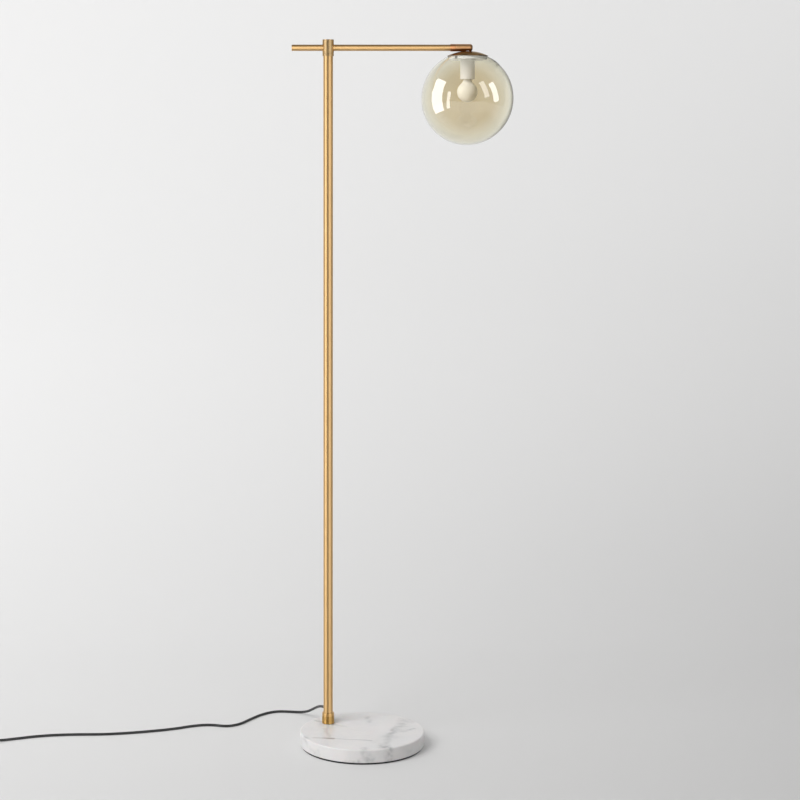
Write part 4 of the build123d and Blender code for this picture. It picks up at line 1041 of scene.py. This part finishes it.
def makeGlobeTree():
    size = {"Radius": 0.1, "Wall": 0.002, "Mouth_radius": 0.042, "Middle": (0, 0, 0)}
    glass = {"Outer_glass": "", "Inner_glass": ""}
    tree, given = newGeometry("blownGlobe", **size, Rings=160, Segments=192, **glass)
    work = partial(mathOf, tree)
    columns, rows = work("ADD", given["Segments"], 1), work("ADD", given["Rings"], 1)
    gridSize = {"Size X": 1, "Size Y": 1, "Vertices X": columns, "Vertices Y": rows}
    grid = addNode(tree, "GeometryNodeMeshGrid", gridSize).outputs["Mesh"]
    position = addNode(tree, "GeometryNodeInputPosition").outputs[0]
    split = addNode(tree, "ShaderNodeSeparateXYZ", {0: position}).outputs
    turn = work("MULTIPLY", split["X"], 2 * math.pi)
    along = work("ADD", split["Y"], 0.5)
    mouth = work("ARCSINE", work("DIVIDE", given["Mouth radius"], given["Radius"]))
    whole = work("SUBTRACT", math.pi, mouth)
    lipFrom, lipTo = globeShape["lip"]
    outer = ranged(tree, along, 0.0, lipFrom, 0.0, whole)
    inner = ranged(tree, along, lipTo, 1.0, whole, 0.0)
    lip = ranged(tree, along, lipFrom, lipTo, 0.0, math.pi)
    bulge = work("MULTIPLY", work("SINE", lip), 0.5)
    bulgeTurn = work("MULTIPLY", bulge, work("DIVIDE", given["Wall"], given["Radius"]))
    climb = work("ADD", work("MINIMUM", outer, inner), bulgeTurn)
    inset = work("SUBTRACT", 0.5, work("MULTIPLY", work("COSINE", lip), 0.5))
    radius = work("SUBTRACT", given["Radius"], work("MULTIPLY", inset, given["Wall"]))
    flat = work("MULTIPLY", radius, work("SINE", climb))
    down = work("MULTIPLY", radius, work("COSINE", climb))
    x, y = work("MULTIPLY", flat, work("COSINE", turn)), work("MULTIPLY", flat, work("SINE", turn))
    bent = addNode(tree, "ShaderNodeCombineXYZ", {0: x, 1: y, 2: work("MULTIPLY", down, -1)}).outputs[0]
    moved = {0: bent, 1: given["Middle"]}
    placed = addNode(tree, "ShaderNodeVectorMath", moved, operation="ADD").outputs[0]
    # the row number is kept from before the bend, to tell the inner face from the outer one
    marked = addNode(tree, "GeometryNodeCaptureAttribute", domain="FACE")
    marked.capture_items.new("FLOAT", "inside")
    feed(marked.inputs["Geometry"], grid)
    feed(marked.inputs["inside"], work("GREATER_THAN", along, 0.5))
    shaped = passOn(tree, marked.outputs["Geometry"], "GeometryNodeSetPosition", Position=placed)
    closed = passOn(tree, shaped, "GeometryNodeMergeByDistance", Distance=globeShape["weld"])
    smooth = passOn(tree, closed, "GeometryNodeSetShadeSmooth")
    lining = {"Selection": marked.outputs["inside"], "Material": given["Inner glass"]}
    dressed = dressUp(tree, smooth, given["Outer glass"])
    return finishGroup(tree, Geometry=passOn(tree, dressed, "GeometryNodeSetMaterial", **lining))


glassGlobe = growWith(
    "glassGlobe",
    makeGlobeTree(),
    Radius=turnedSize("shade_globe")[0],
    Wall=globeShape["wall"],
    Mouth_radius=globeShape["mouth"],
    Middle=(globeAxis[0], globeAxis[1], globeMiddle),
    Rings=globeShape["rings"],
    Segments=globeShape["segments"],
    Outer_glass=materials["globeGlass"],
    Inner_glass=materials["globeInside"],
)
finishPiece(glassGlobe, None, "globe", "tinted_glass", "shade_globe")
glassGlobe.visible_shadow = False


# Ribbed rubber sleeve: a line swept by a circle that tapers towards the tip and dips between the ribs
def makeSleeveTree():
    size = {"Root_radius": 0.0055, "Tip_radius": 0.004, "Rib_depth": 0.0004, "Ribs": 6}
    tree, given = newGeometry("ribbedSleeve", Root=(0, 0, 0), Tip=(0, 0, 0.02), **size, Sheath="")
    work = partial(mathOf, tree)
    line = addNode(tree, "GeometryNodeCurvePrimitiveLine", {"Start": given["Root"], "End": given["Tip"]})
    samples = {"Curve": line.outputs[0], "Count": sweptSteps["boot"]}
    fine = addNode(tree, "GeometryNodeResampleCurve", samples).outputs[0]
    factor = addNode(tree, "GeometryNodeSplineParameter").outputs["Factor"]
    taper = ranged(tree, factor, 0.0, 1.0, given["Root radius"], given["Tip radius"])
    waves = work("MULTIPLY", work("MULTIPLY", factor, given["Ribs"]), 2 * math.pi)
    groove = work("POWER", ranged(tree, work("COSINE", waves), -1.0, 1.0), 3)
    size = work("SUBTRACT", taper, work("MULTIPLY", groove, given["Rib depth"]))
    rim = {"Resolution": sweptSteps["bootRound"], "Radius": 1}
    section = addNode(tree, "GeometryNodeCurvePrimitiveCircle", rim).outputs[0]
    swept = sweep(tree, fine, section, Scale=size)
    smooth = passOn(tree, swept, "GeometryNodeSetShadeSmooth")
    return finishGroup(tree, Geometry=dressUp(tree, smooth, given["Sheath"]))


sleeveTree = makeSleeveTree()
bootShape = {"Root_radius": 0.0055, "Tip_radius": 0.004, "Rib_depth": 0.0006, "Ribs": 6}
poleBootShape = {"Root_radius": 0.0045, "Tip_radius": 0.0035, "Rib_depth": 0.0, "Ribs": 1}
bootLength = 20  # millimetres, like the route
boots = {"poleBoot": ([exitStart + exitWay * reach for reach in cordExit["relief"]], "strain_relief")}
for name, tip, way, node in (
    ("switchBoots", rightTip, -1, "switch_reliefs"),
    ("switchBootLeft", leftTip, 1, "switch_reliefs"),
    ("plugBoot", plugTip, 1, "plug_relief"),
):
    boots[name] = (fromPole([tip + Vector((way * bootLength, 0, 0)), tip]), node)
for name, ((root, tip), node) in boots.items():
    shape = poleBootShape if name == "poleBoot" else bootShape
    sheath = materials["blackPlastic"]
    boot = growWith(name, sleeveTree, Root=tuple(root), Tip=tuple(tip), Sheath=sheath, **shape)
    finishPiece(boot, "blackPlastic", "base", "black_plastic", node)


# The switch's return spring: a coil of round wire swept along a spiral
def makeCoilTree():
    size = {"Turns": 4.0, "Radius": 0.007, "Rise": 0.01, "Wire": 0.001}
    tree, given = newGeometry("coilSpring", Foot=(0, 0, 0), **size, Metal="")
    lay = {"Start Radius": given["Radius"], "End Radius": given["Radius"], "Height": given["Rise"]}
    turns = {"Resolution": sweptSteps["coilTurn"], "Rotations": given["Turns"]}
    coil = addNode(tree, "GeometryNodeCurveSpiral", {**turns, **lay})
    wire = {"Resolution": sweptSteps["wireRound"], "Radius": mathOf(tree, "MULTIPLY", given["Wire"], 0.5)}
    section = addNode(tree, "GeometryNodeCurvePrimitiveCircle", wire).outputs[0]
    swept = sweep(tree, coil.outputs[0], section)
    placed = passOn(tree, swept, "GeometryNodeTransform", Translation=given["Foot"])
    return finishGroup(tree, Geometry=dressUp(tree, placed, given["Metal"]))


springShape = {"wire": 0.001, "turns": 4.0, "travel": 0.0031}
springLow, springHigh = (Vector(corner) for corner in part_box("switch_spring"))
springFoot = (springLow + springHigh) / 2
springFoot.z = springLow.z + springShape["wire"] / 2
returnSpring = growWith(
    "returnSpring",
    makeCoilTree(),
    Foot=tuple(springFoot),
    Turns=springShape["turns"],
    Radius=(springHigh.x - springLow.x - springShape["wire"]) / 2,
    Rise=springHigh.z - springLow.z - springShape["wire"],
    Wire=springShape["wire"],
    Metal=materials["steel"],
)
returnSpring.data.shade_smooth()
finishPiece(returnSpring, "steel", "base", "steel", "switch_spring")
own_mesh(returnSpring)
print("globe and boots grown")

# Every CAD node that still shows wears its slot's finish
for name, node in nodes.items():
    node.data.materials.clear()
    node.data.materials.append(finishOf(slotOfNode[name]))

# Stage: floor and curved back wall in one sheet
stageShape = {
    "wall": 1.7,
    "bend": 0.9,
    "near": -9.0,
    "side": 7.0,
    "high": 5.5,
    "sink": 0.0002,
    "bendSteps": 24,
}


def makeStageSheet():
    bend, bendFrom = stageShape["bend"], stageShape["wall"] - stageShape["bend"]
    profile = [(stageShape["near"], 0.0), (bendFrom, 0.0)]
    for step in range(1, stageShape["bendSteps"] + 1):
        turn = math.pi / 2 * step / stageShape["bendSteps"]
        profile.append((bendFrom + bend * math.sin(turn), bend * (1 - math.cos(turn))))
    profile.append((stageShape["wall"], stageShape["high"]))
    mesh = bpy.data.meshes.new("studioSheet")
    built = bmesh.new()
    sides = (-stageShape["side"], stageShape["side"])
    rows = [[built.verts.new((side, y, z - stageShape["sink"])) for side in sides] for y, z in profile]
    for near, far in zip(rows, rows[1:]):
        built.faces.new((near[0], near[1], far[1], far[0]))
    built.to_mesh(mesh)
    built.free()
    mesh.shade_smooth()
    return newObject("studioSheet", mesh)


# What the camera, metal and glass see of the stage is part paint, part its own pale light; the tones of that
# light are painted shade, darker towards the right and the front
backdrop = {
    # places run from the floor before the lamp, along it and up the wall, in metres
    "from": -0.6,
    "to": 3.6,
    # painted shade: the glow's tones at the left and the right, darker at the right and near the front
    "left": [
        (-0.6, 0.48), (-0.29, 0.545), (0.35, 0.675), (0.89, 0.765),
        (1.73, 0.845), (2.4, 0.9), (3.6, 0.9),
    ],
    "right": [
        (-0.6, 0.14), (-0.29, 0.185), (0.35, 0.305), (0.89, 0.44),
        (1.47, 0.53), (2.19, 0.643), (2.87, 0.738), (3.6, 0.81),
    ],
    "across": (-1.06, 1.35),
    "paint": 0.82,
    # share of its own light, near and far along the same way
    "own": (0.38, 0.7),
    "ownAlong": (0.1, 1.9),
    # far from the lamp, at the sides and in front
    "farTone": 0.8,
    "farOwn": 0.94,
    "farSide": (1.4, 2.8),
    "farFront": (-0.4, -2.4),
    # dark flags above and at the right; through glass they show less
    "flag": 0.36,
    "flagHeight": (2.3, 2.8),
    "sideFlag": 0.02,
    "sideFlagHeight": (0.3, 0.8),
    "besideFlag": [(-0.1, 0.0), (0.6, 0.0), (0.95, 1.0), (1.7, 1.0), (2.2, 0.0)],
    "besideSpan": 2.5,
    "clearThrough": 0.55,
}


def makeStagePaint():
    material, tree, shader, where = newMaterial("stagePaint")
    tree.nodes.remove(shader)
    work = partial(mathOf, tree)
    split = addNode(tree, "ShaderNodeSeparateXYZ", {0: where}).outputs
    depth = work("ADD", split["Y"], split["Z"])
    upward = ranged(tree, depth, backdrop["from"], backdrop["to"])
    whole = backdrop["to"] - backdrop["from"]
    # the glow's tones across the sheet, painted shade that is darker at the right and the front
    sides = []
    for label in ("left", "right"):
        stops = [((place - backdrop["from"]) / whole, tone) for place, tone in backdrop[label]]
        sides.append(toned(tree, upward, stops))
    shade = mixed(tree, ranged(tree, split["X"], *backdrop["across"]), *sides)
    # far from the lamp the sheet takes the world's own pale tone
    sideways = work("ABSOLUTE", split["X"])
    farSide = ranged(tree, sideways, *backdrop["farSide"], shape="SMOOTHSTEP")
    farFront = ranged(tree, depth, *backdrop["farFront"], shape="SMOOTHSTEP")
    farAway = work("MAXIMUM", farSide, farFront)
    shade = mixed(tree, farAway, shade, grey(backdrop["farTone"]))
    # metal and glass also see a dark flag on the wall's right and upper side
    besideSpan = backdrop["besideSpan"]
    stops = [(max(0.0, place / besideSpan), tone) for place, tone in backdrop["besideFlag"]]
    beside = toned(tree, work("MULTIPLY", split["X"], 1 / besideSpan, clamp=True), stops)
    raised = ranged(tree, split["Z"], *backdrop["sideFlagHeight"], shape="SMOOTHSTEP")
    flags = {
        "flag": ranged(tree, split["Z"], *backdrop["flagHeight"], shape="SMOOTHSTEP"),
        "sideFlag": work("MULTIPLY", beside, raised),
    }
    # the camera sees no flag, and a view through glass only part of it
    rays = addNode(tree, "ShaderNodeLightPath").outputs
    through = rays["Is Transmission Ray"]
    notCamera = work("SUBTRACT", 1, rays["Is Camera Ray"])
    flagShare = work("MULTIPLY_ADD", through, -backdrop["clearThrough"], notCamera)
    for label, part in flags.items():
        shown = work("MULTIPLY", part, flagShare)
        shade = mixed(tree, shown, shade, grey(backdrop[label]))
    direct = work("MAXIMUM", rays["Is Camera Ray"], rays["Is Glossy Ray"])
    seen = work("MAXIMUM", direct, through)
    ownShare = ranged(tree, depth, *backdrop["ownAlong"], *backdrop["own"], "SMOOTHSTEP")
    ownShare = mixed(tree, farAway, ownShare, backdrop["farOwn"], "FLOAT")
    own = work("MULTIPLY", seen, ownShare)
    paint = addNode(tree, "ShaderNodeBsdfDiffuse", {"Color": grey(backdrop["paint"])}).outputs[0]
    glow = addNode(tree, "ShaderNodeEmission", {"Color": shade}).outputs[0]
    lit = addNode(tree, "ShaderNodeMixShader", {"Fac": own, 1: paint, 2: glow}).outputs[0]
    # seen from behind, the wall lets the view through
    behind = addNode(tree, "ShaderNodeNewGeometry").outputs["Backfacing"]
    clear = addNode(tree, "ShaderNodeBsdfTransparent").outputs[0]
    sheet = addNode(tree, "ShaderNodeMixShader", {"Fac": behind, 1: lit, 2: clear}).outputs[0]
    feed(tree.nodes["Material Output"].inputs["Surface"], sheet)
    return material


studioSheet = makeStageSheet()
studioSheet.data.materials.append(makeStagePaint())

# A small dark card at the right of the arm's end, met by reflections alone
cardShape = {"x": 0.29, "y": (-0.01, 0.12), "z": (1.5, 1.6), "tone": (0.01, 0.008, 0.006, 1)}
cardFront, cardBack = cardShape["y"]
cardLow, cardHigh = cardShape["z"]
cardCorners = ((cardFront, cardLow), (cardBack, cardLow), (cardBack, cardHigh), (cardFront, cardHigh))
flagCardMesh = bpy.data.meshes.new("flagCard")
flagCardMesh.from_pydata([(cardShape["x"], y, z) for y, z in cardCorners], [], [(0, 1, 2, 3)])
flagCardBlack, _, cardShader, _ = newMaterial("flagCardBlack")
setSockets(cardShader, Base_Color=cardShape["tone"], Roughness=0.9)
flagCardMesh.materials.append(flagCardBlack)
flagCard = newObject("flagCard", flagCardMesh)
flagCard.visible_camera = flagCard.visible_shadow = False
flagCard.visible_diffuse = flagCard.visible_transmission = False

# World: pale for the camera and through glass; for everything else a ring of tones round the horizon,
# from behind over the left, the camera's side and the right to behind again
worldLook = {
    "ring": [
        (0.0, 0.55), (0.22, 0.5), (0.34, 0.42),
        (0.46, (0.10, 0.07, 0.03)),
        (0.525, (0.10, 0.07, 0.03)),
        (0.62, 0.4), (0.73, 0.42), (0.8, 0.16), (1.0, 0.3),
    ],
    "zenith": 0.28,
    "zenithSpan": (0.35, 0.85),
    "pale": 0.8,
}
world = bpy.data.worlds.new("studioWorld")
bpy.context.scene.world = world
world.use_nodes = True
worldTree = world.node_tree
worldWay = addNode(worldTree, "ShaderNodeTexCoord").outputs["Generated"]
wayParts = addNode(worldTree, "ShaderNodeSeparateXYZ", {0: worldWay}).outputs
towards = mathOf(worldTree, "MULTIPLY", wayParts["Y"], -1)
bearing = mathOf(worldTree, "ARCTAN2", wayParts["X"], towards)
ringTone = toned(worldTree, ranged(worldTree, bearing, -math.pi, math.pi), worldLook["ring"], "EASE")
overhead = ranged(worldTree, wayParts["Z"], *worldLook["zenithSpan"], shape="SMOOTHSTEP")
litTone = mixed(worldTree, overhead, ringTone, grey(worldLook["zenith"]))
worldRays = addNode(worldTree, "ShaderNodeLightPath").outputs
# a view through glass is pale, but not the light that falls through it after a matt surface
clearView = mathOf(
    worldTree, "SUBTRACT", worldRays["Is Transmission Ray"], worldRays["Diffuse Depth"], clamp=True
)
worldSeen = mathOf(worldTree, "MAXIMUM", worldRays["Is Camera Ray"], clearView)
worldTone = mixed(worldTree, worldSeen, litTone, grey(worldLook["pale"]))
feed(worldTree.nodes["Background"].inputs["Color"], worldTone)

# Lamps: what each one is aimed at, its size and roll, the brightness of its face and what it serves
poleHeart, headHeart = (-0.076, 0.055, 1.25), (0.2255, 0.055, 1.43)
lamps = {
    # name: place, aim, size, roll in degrees, brightness, serves
    "keyLight": ((-3.8, -3.4, 5.2), (0.0, 0.3, 0.4), (4.5, 4.5), 0, 6.7, "shade"),
    "headFill": ((-1.2, -0.75, 0.55), (0.2255, 0.055, 1.48), (0.8, 0.8), 0, 8.0, "inside"),
    "leftSoftbox": ((-1.40, -0.70, 1.25), poleHeart, (1.15, 2.5), 0, 2.0, "gloss"),
    "rightPanel": ((1.05, -1.27, 1.25), poleHeart, (1.8, 2.5), 0, 1.35, "gloss"),
    "armSoftbox": ((-0.55, -1.5, 1.9), (0.05, 0.055, 1.54), (1.3, 1.9), 0, 2.1, "arm"),
    "globeSoftbox": ((-1.12, -0.08, 1.56), (0.2255, 0.055, 1.47), (0.84, 1.62), 0, 5.0, "globe"),
    "windowLeft": ((-0.937, -0.893, 1.33), headHeart, (0.22, 1.0), -8, 3.4, "globe"),
    "windowNear": ((1.22, -1.11, 1.98), headHeart, (0.36, 1.05), 14, 2.4, "globe"),
    "windowFar": ((1.64, -0.54, 1.78), headHeart, (0.46, 1.1), 12, 4.4, "globe"),
}
served = {
    "globe": [glassGlobe],
    "arm": [armPole, armEndPlug, fittingRing, headFitting],
    "inside": [shadeGallery, lampholderSleeve, bulbBall],
    "gloss": [glassGlobe, headFitting],  # these are the ones left out
}
receivers = {}
for label, pieces in served.items():
    receivers[label] = bpy.data.collections.new(label + "Receivers")
    for piece in pieces:
        receivers[label].objects.link(piece)
for member in receivers["gloss"].collection_objects:
    member.light_linking.link_state = "EXCLUDE"
for name, (place, aim, size, roll, bright, serves) in lamps.items():
    light = bpy.data.lights.new(name, "AREA")
    light.shape = "RECTANGLE"
    light.size, light.size_y = size
    light.energy = bright * math.pi * light.size * light.size_y
    lampObject = newObject(name, light)
    lampObject.location = place
    facing = (Vector(aim) - Vector(place)).to_track_quat("-Z", "Y")
    rolled = facing @ Quaternion((0, 0, 1), math.radians(roll))
    lampObject.rotation_euler = rolled.to_euler()
    lampObject.visible_camera = lampObject.visible_transmission = False
    if serves == "shade":
        lampObject.visible_glossy = False
    else:
        lampObject.visible_diffuse = serves == "inside"
        lampObject.light_linking.receiver_collection = receivers[serves]
print("stage lit")
